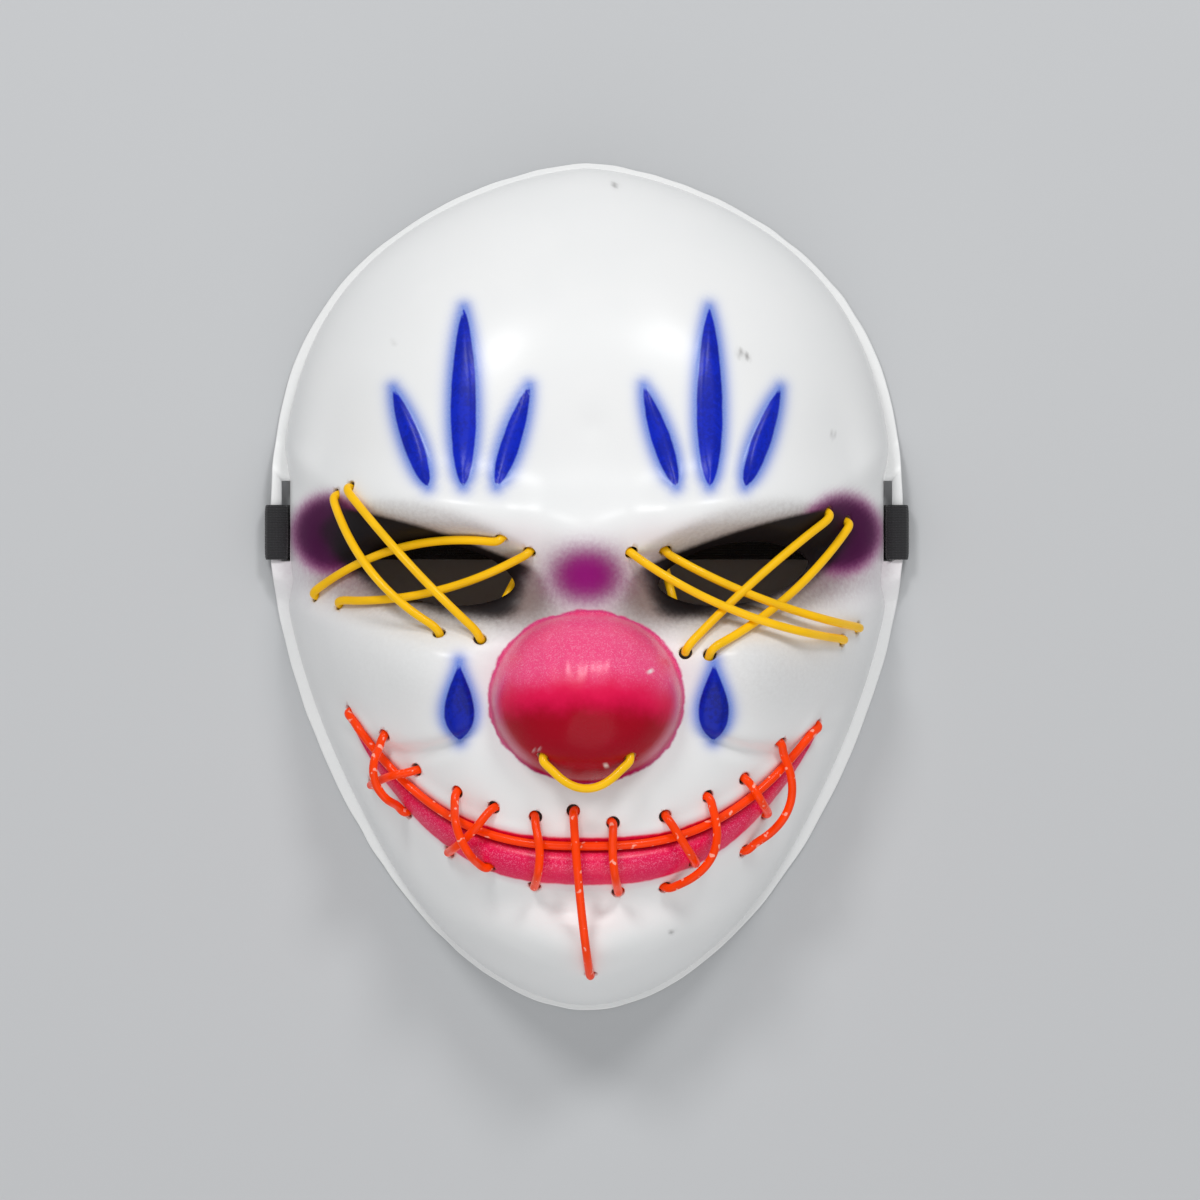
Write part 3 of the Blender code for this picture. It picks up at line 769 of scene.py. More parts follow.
class Nodes:
    """A material's node tree, built from expressions."""

    def __init__(self, name: str) -> None:
        """Starts a material with one Principled shader.

        Args:
            name: The name to give.
        """
        self.material = bpy.data.materials.new(name)
        self.material.use_nodes = True
        self.tree = self.material.node_tree
        self.shader = self.tree.nodes["Principled BSDF"]

    def add(
        self,
        kind: str,
        settings: dict | None = None,
        inputs: dict | None = None,
        output: str | int | None = None,
    ) -> Num:
        """Adds a node.

        Args:
            kind: The node's type.
            settings: Its properties, set first.
            inputs: Values or links for its sockets, by name or number.
            output: Name or number of the output to give, or None for the first enabled one.

        Returns:
            That output.
        """
        node = self.tree.nodes.new(kind)
        for key, value in (settings or {}).items():
            setattr(node, key, value)
        for key, value in (inputs or {}).items():
            self.feed(node.inputs[key], value)
        if output is None:
            output = next(index for index, socket in enumerate(node.outputs) if socket.enabled)
        return Num(self, node.outputs[output])

    def feed(self, socket: bpy.types.NodeSocket, value: object) -> None:
        """Sets a socket to a plain value or links it to a number.

        Args:
            socket: The socket to feed.
            value: A plain value or a number from a node.
        """
        if isinstance(value, Num):
            self.tree.links.new(value.socket, socket)
        elif isinstance(value, tuple) and socket.type == "RGBA":
            socket.default_value = (*value, 1.0)
        else:
            socket.default_value = value

    def mix(self, factor: Num | float, first: Num | Colour, second: Num | Colour) -> Num:
        """Colour that goes from first to second."""
        inputs = {0: factor, 6: first, 7: second}
        return self.add("ShaderNodeMix", {"data_type": "RGBA"}, inputs, 2)

    def place(self) -> Num:
        """Object coordinates."""
        return self.add("ShaderNodeTexCoord", output="Object")

    def noise(self, where: Num, scale: float, detail: float = 2.0, rough: float = 0.5) -> Num:
        """Fractal noise between 0 and 1."""
        inputs = {"Vector": where, "Scale": scale, "Detail": detail, "Roughness": rough}
        return self.add("ShaderNodeTexNoise", None, inputs)

    def attribute(self, name: str) -> Num:
        """A number stored on the mesh."""
        return self.add("ShaderNodeAttribute", {"attribute_name": name}, output="Fac")

    def bump(self, height: Num, distance: float, strength: float = 1.0) -> None:
        """Feeds the shader's normal from a height."""
        inputs = {"Height": height, "Distance": distance, "Strength": strength}
        self.feed(self.shader.inputs["Normal"], self.add("ShaderNodeBump", None, inputs))

    def surface(self, **values: object) -> bpy.types.Material:
        """Feeds the shader's sockets, named with underscores for blanks.

        Args:
            values: What each socket gets.

        Returns:
            The finished material.
        """
        for key, value in values.items():
            self.feed(self.shader.inputs[key.replace("_", " ")], value)
        return self.material


@dataclass
class ShellGrain:
    """What the shell's paint layers share: its nodes, its noises and the outer face's mask."""

    nodes: Nodes
    where: Num
    fine: Num
    grain: Num
    waver: Num
    speckle: Num
    outside: Num

    @classmethod
    def on(cls, nodes: Nodes) -> ShellGrain:
        """Adds the shared nodes to a material's tree.

        Args:
            nodes: The material's nodes.

        Returns:
            The shared nodes.
        """
        where = nodes.place()
        fine = nodes.noise(where, 900.0, 3.0, 0.6)
        grain = nodes.noise(where, 2600.0, 2.0, 0.7)
        waver = (nodes.noise(where, 160.0, 3.0, 0.6) - 0.5) * (1.6 * MM)
        speckle = (grain * 0.75 + fine * 0.25).over(0.50, 0.62)
        return cls(nodes, where, fine, grain, waver, speckle, nodes.attribute("outside"))


@dataclass(frozen=True)
class PaintedShell:
    """White moulded plastic, its outer face sprayed and brushed with colour, painted shade and
    highlight.
    """

    white: Colour = (0.875, 0.878, 0.872)
    greyed: Colour = (0.82, 0.832, 0.830)
    blue: Colour = (0.0, 0.016, 0.52)
    deep_blue: Colour = (0.0, 0.006, 0.22)
    overspray: Colour = (0.010, 0.130, 0.68)
    nose_top: Colour = (0.90, 0.070, 0.225)
    nose_middle: Colour = (0.78, 0.004, 0.075)
    nose_low: Colour = (0.38, 0.0, 0.012)
    nose_speck: Colour = (0.95, 0.30, 0.45)
    nose_rim: Colour = (0.80, 0.30, 0.42)
    nose_edge: Colour = (0.50, 0.010, 0.190)
    lip: Colour = (0.80, 0.003, 0.086)
    # Pale pink specks on the red. Thicker along the lower lip's roll, they make a painted highlight.
    lip_speck_and_highlight: Colour = (0.95, 0.17, 0.33)
    # Dark red painted shade in the seam's groove.
    lip_groove_shade: Colour = (0.26, 0.0, 0.008)
    blush: Colour = (0.86, 0.42, 0.52)
    violet: Colour = (0.060, 0.002, 0.045)
    fringe: Colour = (0.42, 0.030, 0.27)
    # Grey-brown smudge. Round the eye sockets, at their inner corners and on the cheeks it is partly
    # painted shade.
    smudge_and_shade: Colour = (0.19, 0.130, 0.115)
    magenta: Colour = (0.26, 0.0, 0.155)
    soot: Colour = (0.006, 0.004, 0.005)
    dirt: Colour = (0.10, 0.085, 0.08)
    roughness: float = 0.40
    coat: float = 0.42
    coat_roughness: float = 0.27
    specular: float = 0.14
    grain_depth: float = 0.12 * MM
    grain_strength: float = 0.55

    def material(self) -> bpy.types.Material:
        """Paint layers over the white, each by its own distance or density on the mesh.

        Returns:
            The material.
        """
        nodes = Nodes("painted_shell")
        base = ShellGrain.on(nodes)
        cloud = nodes.noise(base.where, 35.0).over(0.35, 0.7)
        colour = nodes.mix(cloud * 0.35, self.white, self.greyed)
        colour = self.sprays(base, colour)
        colour, inked = self.marks(base, colour)
        colour, on_lip = self.lips(base, colour)
        colour, on_nose, tone = self.ball(base, colour)
        colour = nodes.mix(nodes.attribute("speck") * base.outside, colour, self.dirt)
        painted = on_nose * base.outside
        rough = self.roughness + nodes.noise(base.where, 60.0, 3.0).over(0.3, 0.7) * 0.08
        rough = rough - inked * base.outside * 0.06 - painted * 0.14
        dull = nodes.attribute("soot").math("MAXIMUM", nodes.attribute("violet"))
        dull = dull.math("MAXIMUM", nodes.attribute("magenta"))
        matt = painted * (1.0 - tone.over(0.25, 0.65) * 0.85)
        gloss = self.coat * (1.0 - matt) * (1.0 - dull * base.outside)
        gloss = gloss * (1.0 - inked * base.outside * 0.65)
        height = base.fine * 0.25 + base.grain * 0.10 + inked * base.outside * 0.5
        height = height + (on_nose + on_lip) * base.outside * (0.3 + base.fine * 0.5)
        nodes.bump(height, self.grain_depth, self.grain_strength)
        return nodes.surface(
            Base_Color=colour,
            Roughness=rough + dull * base.outside * 0.12,
            Coat_Weight=gloss,
            Coat_Roughness=self.coat_roughness,
            Specular_IOR_Level=self.specular,
        )

    def sprays(self, base: ShellGrain, colour: Num) -> Num:
        """The sprayed fields and painted shade, broken up by noise where they thin out.

        Args:
            base: What the layers share.
            colour: The colour so far.

        Returns:
            The colour with the sprayed fields.
        """
        nodes = base.nodes
        for name, paint in (
            # Smudge and painted shade round the sockets and on the cheeks.
            ("smudge_and_shade", self.smudge_and_shade),
            ("fringe", self.fringe),
            ("violet", self.violet),
            ("soot", self.soot),
            ("magenta", self.magenta),
        ):
            cover = nodes.attribute(name)
            if name == "soot":
                cover = cover * nodes.attribute("over_brow").over(0.7 * MM, -0.7 * MM)
            broken = cover + cover * (1.0 - cover) * (base.fine - 0.5) * 1.4
            colour = nodes.mix(broken * base.outside, colour, paint)
        return colour

    def marks(self, base: ShellGrain, colour: Num) -> tuple[Num, Num]:
        """The blue marks with their overspray, worn in patches and darker below the eyes.

        Args:
            base: What the layers share.
            colour: The colour so far.

        Returns:
            The colour, and where the blue lies.
        """
        nodes = base.nodes
        mist = nodes.attribute("halo") * (0.8 + base.grain * 0.3)
        colour = nodes.mix(mist * base.outside, colour, self.overspray)
        inked = (nodes.attribute("mark") + base.waver * 0.35).over(0.35 * MM, -0.25 * MM)
        worn = (base.fine * 0.5 + nodes.noise(base.where, 120.0) * 0.5).over(0.42, 0.60)
        darker = worn * 0.55 + nodes.attribute("low_mark") * 0.4
        blue = nodes.mix(darker, self.blue, self.deep_blue)
        return nodes.mix(inked * base.outside, colour, blue), inked

    def lips(self, base: ShellGrain, colour: Num) -> tuple[Num, Num]:
        """Speckled red lip: painted shade in the seam's groove, painted highlight along its roll,
        blush round it.

        Args:
            base: What the layers share.
            colour: The colour so far.

        Returns:
            The colour, and where the lip's red lies.
        """
        nodes = base.nodes
        lip = nodes.attribute("lip") + base.waver * 0.6
        # The specks thicken along the lip's roll into a painted highlight.
        flecks = base.speckle * (0.20 + nodes.attribute("roll") * 0.6)
        red = nodes.mix(flecks, self.lip, self.lip_speck_and_highlight)
        # Painted shade: the seam's groove is darkened.
        red = nodes.mix(nodes.attribute("groove").over(0.25, 1.0) * 0.85, red, self.lip_groove_shade)
        on_lip = lip.over(0.35 * MM, -0.35 * MM)
        blush = lip.over(2.4 * MM, -0.4 * MM) * 0.35
        colour = nodes.mix(blush * base.outside, colour, self.blush)
        return nodes.mix(on_lip * base.outside, colour, red), on_lip

    def ball(self, base: ShellGrain, colour: Num) -> tuple[Num, Num, Num]:
        """The nose: dark red below, red in the middle and speckled pink above.

        Args:
            base: What the layers share.
            colour: The colour so far.

        Returns:
            The colour, where the nose's paint lies, and its tone from low to top.
        """
        nodes = base.nodes
        nose = nodes.attribute("nose") + base.waver * 1.3
        on_nose = nose.over(0.4 * MM, -0.3 * MM)
        blotch = (nodes.noise(base.where, 90.0, 4.0, 0.7) - 0.5) * 0.45
        tone = nodes.attribute("tone") + blotch
        ball = nodes.mix(tone.over(0.0, 0.5), self.nose_low, self.nose_middle)
        ball = nodes.mix(tone.over(0.42, 0.90), ball, self.nose_top)
        ball = nodes.mix(base.speckle * tone.over(0.45, 0.95) * 0.6, ball, self.nose_speck)
        ball = nodes.mix(nodes.attribute("nose_rim"), ball, self.nose_rim)
        ball = nodes.mix(nose.over(-1.0 * MM, 0.0) * 0.6, ball, self.nose_edge)
        ball = nodes.mix(nodes.attribute("nick"), ball, self.white)
        return nodes.mix(on_nose * base.outside, colour, ball), on_nose, tone


@dataclass(frozen=True)
class LitSleeve:
    """A clear coloured sleeve round a glowing core."""

    name: str
    colour: Colour
    glow: Colour
    strength: float
    scuffed: float
    scuff: Colour = (0.90, 0.62, 0.50)
    shade: float = 0.80
    roughness: float = 0.30
    coat: float = 0.12
    coat_roughness: float = 0.10
    specular: float = 0.12

    def material(self) -> bpy.types.Material:
        """Glossy colour with a little light of its own, uneven along the wire.

        Returns:
            The material.
        """
        nodes = Nodes(self.name)
        where = nodes.place()
        cloud = nodes.noise(where, 110.0, 2.0).over(0.3, 0.7)
        darker = tuple(self.shade * part for part in self.colour)
        colour = nodes.mix(cloud * 0.5, self.colour, darker)
        flecks = nodes.noise(where, 480.0, 1.0).over(0.66, 0.71)
        colour = nodes.mix(flecks * self.scuffed, colour, self.scuff)
        nodes.bump(nodes.noise(where, 700.0, 2.0), 0.05 * MM, 0.4)
        glow = nodes.mix(cloud * 0.3, self.glow, darker)
        return nodes.surface(
            Base_Color=colour,
            Roughness=self.roughness,
            Coat_Weight=self.coat,
            Coat_Roughness=self.coat_roughness,
            Specular_IOR_Level=self.specular,
            Emission_Color=glow,
            Emission_Strength=self.strength,
        )


@dataclass(frozen=True)
class WovenElastic:
    """Flat black elastic: rubber ribs along it, with yarn across."""

    black: Colour = (0.006, 0.006, 0.007)
    worn: Colour = (0.024, 0.024, 0.027)
    ribs: float = 22.0
    picks: float = 1250.0

    def material(self) -> bpy.types.Material:
        """A weave from the band's own map: u runs across the band and v along it in metres.

        Returns:
            The material.
        """
        nodes = Nodes("woven_elastic")
        weave_map = nodes.add("ShaderNodeUVMap", {"uv_map": "weave"})
        across = nodes.add("ShaderNodeSeparateXYZ", None, {0: weave_map}, "X")
        along = nodes.add("ShaderNodeSeparateXYZ", None, {0: weave_map}, "Y")
        rib = (across * (self.ribs * 2 * math.pi)).math("SINE") * 0.5 + 0.5
        pick = (along * (self.picks * 2 * math.pi)).math("SINE") * 0.5 + 0.5
        weave = rib * 0.6 + pick * rib * 0.5
        fuzz = nodes.noise(nodes.place(), 1800.0, 3.0, 0.7)
        colour = nodes.mix(weave * 0.45 + fuzz * 0.3, self.black, self.worn)
        nodes.bump(weave + fuzz * 0.3, 0.25 * MM, 0.8)
        return nodes.surface(Base_Color=colour, Roughness=0.82, Sheen_Weight=0.25)


@dataclass(frozen=True)
class PaleFloor:
    """A plain pale studio floor."""

    tone: Colour = (0.55, 0.56, 0.57)

    def material(self) -> bpy.types.Material:
        """Matt, almost even.

        Returns:
            The material.
        """
        nodes = Nodes("pale_floor")
        cloud = nodes.noise(nodes.place(), 6.0, 3.0)
        colour = nodes.mix(cloud * 0.3, self.tone, tuple(0.96 * part for part in self.tone))
        return nodes.surface(Base_Color=colour, Roughness=0.75)


# Mesh making


def grid_faces(rows: int, columns: int, wrap_rows: bool, wrap_columns: bool) -> Array:
    """Quads of a grid of points numbered row by row.

    Args:
        rows: How many rows.
        columns: How many points in a row.
        wrap_rows: Whether the last row joins the first.
        wrap_columns: Whether the last column joins the first.

    Returns:
        The quads as [quad, corner].
    """
    row = np.arange(rows if wrap_rows else rows - 1)[:, None]
    column = np.arange(columns if wrap_columns else columns - 1)[None, :]
    after_row, after_column = (row + 1) % rows, (column + 1) % columns
    corners = [
        row * columns + column,
        row * columns + after_column,
        after_row * columns + after_column,
        after_row * columns + column,
    ]
    return np.stack(np.broadcast_arrays(*corners), axis=-1).reshape(-1, 4)


def mesh_piece(name: str, points: Array, faces: list, sharp_deg: float = 40.0) -> bpy.types.Object:
    """An object that holds a mesh of the given points and faces, shaded smooth.

    Args:
        name: The object's and mesh's name.
        points: Its points as [..., xyz].
        faces: Point numbers of each face.
        sharp_deg: Edges over this angle stay sharp.

    Returns:
        The object.
    """
    mesh = bpy.data.meshes.new(name)
    mesh.from_pydata(points.reshape(-1, 3).tolist(), [], faces)
    mesh.update()
    mesh.shade_smooth()
    mesh.set_sharp_from_angle(angle=math.radians(sharp_deg))
    piece = bpy.data.objects.new(name, mesh)
    bpy.context.scene.collection.objects.link(piece)
    return piece


def store(mesh: bpy.types.Mesh, name: str, values: Array) -> None:
    """Keeps a number for each point of a mesh."""
    mesh.attributes.new(name, "FLOAT", "POINT").data.foreach_set("value", values.astype(np.float32))


@dataclass
class Path:
    """A dense line through space, with frames that don't twist."""

    points: Array

    def tangents(self) -> Array:
        """Unit directions along the line."""
        ahead = np.gradient(self.points, axis=0)
        return ahead / np.linalg.norm(ahead, axis=1, keepdims=True)

    def length(self) -> Array:
        """Distance along the line at each point."""
        steps = np.linalg.norm(np.diff(self.points, axis=0), axis=1)
        return np.concatenate([[0.0], np.cumsum(steps)])

    def resampled(self, step: float) -> Path:
        """The line with a point every step of length.

        Args:
            step: Distance between points.

        Returns:
            The new line.
        """
        length = self.length()
        stops = np.linspace(0.0, length[-1], max(round(length[-1] / step), 2) + 1)
        return Path(np.stack([np.interp(stops, length, part) for part in self.points.T], axis=1))

    def softened(self, passes: int) -> Path:
        """The line with each inner point moved halfway to the mean of its neighbours, some times.

        Args:
            passes: How many times.

        Returns:
            The new line.
        """
        points = self.points.copy()
        for _ in range(passes):
            points[1:-1] += 0.5 * ((points[:-2] + points[2:]) / 2 - points[1:-1])
        return Path(points)

    def frames(self) -> tuple[Array, Array]:
        """Two sides at each point, square to the line, that don't twist along it.

        Each point first gets any side. Reflecting it to the next point twice shows by how much the
        next point's side is turned, and the sum of those turns is taken out.

        Returns:
            The two sides as [point, xyz] each.
        """
        ahead = self.tangents()
        other = np.where(np.abs(ahead[:, 2:]) < 0.8, [[0.0, 0.0, 1.0]], [[1.0, 0.0, 0.0]])
        side = np.cross(ahead, other)
        side /= np.linalg.norm(side, axis=1, keepdims=True)
        up = np.cross(ahead, side)
        gap = np.diff(self.points, axis=0)
        square = (gap * gap).sum(1, keepdims=True)
        moved = side[:-1] - 2 / square * (gap * side[:-1]).sum(1, keepdims=True) * gap
        turned = ahead[:-1] - 2 / square * (gap * ahead[:-1]).sum(1, keepdims=True) * gap
        rest = ahead[1:] - turned
        square = np.maximum((rest * rest).sum(1, keepdims=True), 1e-12)
        moved = moved - 2 / square * (rest * moved).sum(1, keepdims=True) * rest
        twist = np.arctan2((moved * up[1:]).sum(1), (moved * side[1:]).sum(1))
        total = np.concatenate([[0.0], np.cumsum(twist)])[:, None]
        cos, sin = np.cos(total), np.sin(total)
        return side * cos + up * sin, up * cos - side * sin


def swept(name: str, path: Path, profile: Array, ends: Array | None = None) -> bpy.types.Object:
    """A closed profile carried along a path, with both ends closed.

    Args:
        name: The piece's name.
        path: The line to follow.
        profile: Profile points as [point, side and up].
        ends: Scale of the profile at each path point, for rounded ends.

    Returns:
        The piece.
    """
    side, up = path.frames()
    scale = np.ones(len(path.points)) if ends is None else ends
    ring = profile[None, :, :] * scale[:, None, None]
    offset = ring[..., :1] * side[:, None, :] + ring[..., 1:] * up[:, None, :]
    points = path.points[:, None, :] + offset
    rows, columns = points.shape[:2]
    faces = grid_faces(rows, columns, False, True)[:, ::-1].tolist()
    faces.append(list(range(columns)))
    faces.append(list(range((rows - 1) * columns, rows * columns))[::-1])
    return mesh_piece(name, points, faces, 60.0)


# Light wires


class Route(Enum):
    """How a run of wire goes over the face."""

    TAUT = "taut"
    SEAM = "along the seam"


@dataclass(frozen=True)
class Run:
    """One front run of a wire.

    Ends are hole centres as shares of the half width and half height. bow is the sideways bend to
    the left and lift the bend off the face, as shares of the length. over counts the wires beneath.
    """

    x0: float
    y0: float
    x1: float
    y1: float
    bow: float
    lift: float
    over: int
    route: Route = Route.TAUT


EYE_RUNS = (
    Run(-0.456, -0.106, -0.782, 0.213, 0.09, 0.10, 0),
    Run(-0.738, 0.231, -0.329, -0.120, -0.02, 0.10, 0),
    Run(-0.177, 0.080, -0.773, -0.040, 0.07, 0.00, 0),
    Run(-0.852, -0.021, -0.263, 0.111, 0.10, 0.00, 0),
    Run(0.139, 0.078, 0.800, -0.125, -0.06, 0.15, 1),
    Run(0.850, -0.097, 0.244, 0.083, 0.04, 0.15, 1),
    Run(0.305, -0.152, 0.754, 0.172, 0.02, -0.05, 0),
    Run(0.817, 0.151, 0.380, -0.156, 0.06, -0.05, 0),
    Run(0.135, -0.392, -0.135, -0.392, 0.30, 0.06, 0),
)
MOUTH_RUNS = (
    Run(0.722, -0.322, -0.742, -0.290, 0.0, 0.0, 0, Route.SEAM),
    Run(-0.630, -0.345, -0.561, -0.527, -0.24, 0.0, 2),
    Run(-0.672, -0.462, -0.530, -0.425, 0.06, 0.0, 1),
    Run(-0.402, -0.475, -0.301, -0.650, -0.12, 0.0, 2),
    Run(-0.428, -0.616, -0.288, -0.510, -0.04, 0.0, 1),
    Run(-0.158, -0.531, -0.162, -0.692, 0.08, 0.0, 1),
    Run(0.013, -0.900, -0.041, -0.517, 0.01, 0.0, 1),
    Run(0.082, -0.545, 0.098, -0.706, -0.04, 0.0, 1),
    Run(0.244, -0.697, 0.377, -0.485, -0.24, 0.0, 1),
    Run(0.244, -0.530, 0.335, -0.640, 0.00, 0.0, 1),
    Run(0.491, -0.616, 0.605, -0.362, -0.24, 0.0, 1),
    Run(0.491, -0.445, 0.560, -0.530, 0.00, 0.0, 1),
)


@dataclass
class Hole:
    """A round hole through the shell: its centre on the outer face and its axis."""

    top: Array
    axis: Array

    @classmethod
    def at(cls, face: FaceForm, x_share: float, y_share: float) -> Hole:
        """The hole at a share of the half width and half height, square to the face around it."""
        x, y = np.array([x_share * face.width / 2]), np.array([y_share * face.height / 2])
        return cls(np.array([x[0], y[0], face.level(x, y)[0]]), face.normal(x, y, 0.0015)[0])

    def bend(self, toward: Array, level: float, reach: float) -> Array:
        """Where a wire turns over, level along the axis and reach to the side."""
        side = toward - self.axis * (toward @ self.axis)
        return self.top + self.axis * level + side / np.linalg.norm(side) * reach


@dataclass
class LightWire:
    """A light wire threaded through its holes, from the first run to the last."""

    name: str
    runs: tuple[Run, ...]
    face: FaceForm
    finish: LitSleeve
    radius: float = 0.00115
    gap: float = 0.0003
    bend: float = 0.0022
    step: float = 0.0042
    back_sag: float = 0.15
    tail: float = 0.012
    sides: int = 16
    turn_over: float = 0.35
    curve_steps: int = 12
    point_step: float = 0.0006
    soft_passes: int = 12

    @property
    def clear(self) -> float:
        """Distance of the wire's middle from the face that it rests on."""
        return self.radius + self.gap

    def front(self, start: Array, finish: Array, run: Run) -> Array:
        """Points of one run between its bends: a bowed line that is lifted clear of the face.

        Args:
            start: Where the first bend ends.
            finish: Where the last bend starts.
            run: The run.

        Returns:
            The points between them.
        """
        ahead = finish - start
        reach = float(np.linalg.norm(ahead))
        left = np.array([-ahead[1], ahead[0], 0.0])
        count = max(round(reach / self.step), 2)
        share = np.arange(1, count) / count
        bulge = 4 * share * (1 - share)
        line = start + ahead * share[:, None] + left * (run.bow * bulge)[:, None]
        crossing = run.over * (2 * self.radius + 2 * self.gap)
        stacked = crossing * smooth_step(5 * np.minimum(share, 1 - share))
        resting = self.face.rest(line[:, 0], line[:, 1], self.clear + stacked)
        hung = np.maximum(line[:, 2] + run.lift * reach * bulge, resting)
        heights = np.array([start[2], *hung, finish[2]])
        line[:, 2] = taut(np.array([0.0, *share, 1.0]), heights)[1:-1]
        return line

    def seam(self, first: Hole, last: Hole) -> Array:
        """Points along the smile's seam, from just beyond one hole to just before another.

        Args:
            first: The first hole.
            last: The last hole.

        Returns:
            The points between them.
        """
        ahead = np.sign(last.top[0] - first.top[0])
        start = first.top[0] + 0.7 * self.step * ahead
        finish = last.top[0] - 0.7 * self.step * ahead
        x = np.linspace(start, finish, round(abs(finish - start) / self.step) + 1)
        y = self.face.seam(x) + self.face.seam_spread / 3
        return np.column_stack([x, y, self.face.rest(x, y, self.clear)])

    def over_face(self, run: Run) -> list[Array]:
        """One run, from the wall of its first hole to the wall of its last.

        Args:
            run: The run.

        Returns:
            The points of the run, bends and holes included.
        """
        first, last = Hole.at(self.face, run.x0, run.y0), Hole.at(self.face, run.x1, run.y1)
        ahead = (last.top - first.top) / np.linalg.norm(last.top - first.top)
        left = np.array([-ahead[1], ahead[0], 0.0])
        toward, back = ahead + left * 3 * run.bow, left * 3 * run.bow - ahead
        level = self.clear + self.turn_over * self.bend
        if run.route is Route.SEAM:
            line = self.seam(first, last)
            toward, back = line[0] - first.top, line[-1] - last.top
            level = self.clear
        low, low_back = level * first.axis[2] ** 0.8, level * last.axis[2] ** 0.8
        bent, bent_back = first.bend(toward, low, self.bend), last.bend(back, low_back, self.bend)
        if run.route is not Route.SEAM:
            line = self.front(bent, bent_back, run)
        wall = self.face.wall / 2
        through = [first.top - first.axis * wall, first.top + first.axis * self.radius]
        returned = [last.top + last.axis * self.radius, last.top - last.axis * wall]
        return [*through, bent, *line, bent_back, *returned]

    def behind(self, before: Run, after: Run) -> list[Array]:
        """The back run from one run's last hole to the next run's first, sagging inside the shell.

        Args:
            before: The run that ends.
            after: The run that follows.

        Returns:
            The points behind the shell.
        """
        first, last = Hole.at(self.face, before.x1, before.y1), Hole.at(self.face, after.x0, after.y0)
        ahead = last.top - first.top
        level = -(self.face.wall + self.clear + self.turn_over * self.bend)
        start, finish = first.bend(ahead, level, self.bend), last.bend(-ahead, level, self.bend)
        reach = float(np.linalg.norm(finish - start))
        count = max(round(reach / self.step), 2)
        share = np.arange(1, count) / count
        line = start + (finish - start) * share[:, None]
        hung = line[:, 2] - self.back_sag * reach * 4 * share * (1 - share)
        line[:, 2] = np.minimum(hung, self.face.rest(line[:, 0], line[:, 1], self.clear, True))
        return [start, *line, finish]

    def route(self) -> Array:
        """All chosen points of the wire, with a short tail inside the shell at each end.

        Returns:
            The points as [point, xyz].
        """
        first = Hole.at(self.face, self.runs[0].x0, self.runs[0].y0)
        last = Hole.at(self.face, self.runs[-1].x1, self.runs[-1].y1)
        points = [first.top - first.axis * self.tail]
        for before, run in zip((None, *self.runs), self.runs):
            points += self.behind(before, run) if before else []
            points += self.over_face(run)
        return np.array([*points, last.top - last.axis * self.tail])

    def path(self) -> Path:
        """A smooth curve through the route: centripetal Catmull-Rom, then softened.

        Returns:
            The dense line.
        """
        p = self.route()
        p = np.concatenate([[2 * p[0] - p[1]], p, [2 * p[-1] - p[-2]]])
        p0, p1, p2, p3 = (p[i : len(p) - 3 + i, None, :] for i in range(4))
        k1 = np.linalg.norm(p1 - p0, axis=2, keepdims=True) ** 0.5
        k2 = k1 + np.linalg.norm(p2 - p1, axis=2, keepdims=True) ** 0.5
        k3 = k2 + np.linalg.norm(p3 - p2, axis=2, keepdims=True) ** 0.5
        k = k1 + (k2 - k1) * (np.arange(self.curve_steps) / self.curve_steps)[None, :, None]
        a1 = p0 + (p1 - p0) * k / k1
        a2 = p1 + (p2 - p1) * (k - k1) / (k2 - k1)
        a3 = p2 + (p3 - p2) * (k - k2) / (k3 - k2)
        b1 = a1 + (a2 - a1) * k / k2
        b2 = a2 + (a3 - a2) * (k - k1) / (k3 - k1)
        line = b1 + (b2 - b1) * (k - k1) / (k2 - k1)
        rough = Path(np.concatenate([line.reshape(-1, 3), p[-2:-1]]))
        return rough.resampled(self.point_step).softened(self.soft_passes)

    def make(self) -> bpy.types.Object:
        """Builds and dresses the wire.

        Returns:
            The wire.
        """
        path = self.path()
        turn = np.arange(self.sides) / self.sides * 2 * math.pi
        profile = self.radius * np.stack([np.cos(turn), np.sin(turn)], axis=1)
        length = path.length()
        near_end = np.minimum(length, length[-1] - length) / self.radius
        ends = np.sqrt(np.clip(1 - (1 - np.minimum(near_end + 0.3, 1.0)) ** 2, 0.0, 1.0))
        wire = swept(self.name, path, profile, ends)
        wire.data.materials.append(self.finish.material())
        return wire


# Shell


def sprayed(density: Array) -> Array:
    """Coverage of a sprayed coat: 1 - exp(-density)."""
    return 1.0 - np.exp(-np.maximum(density, 0.0))


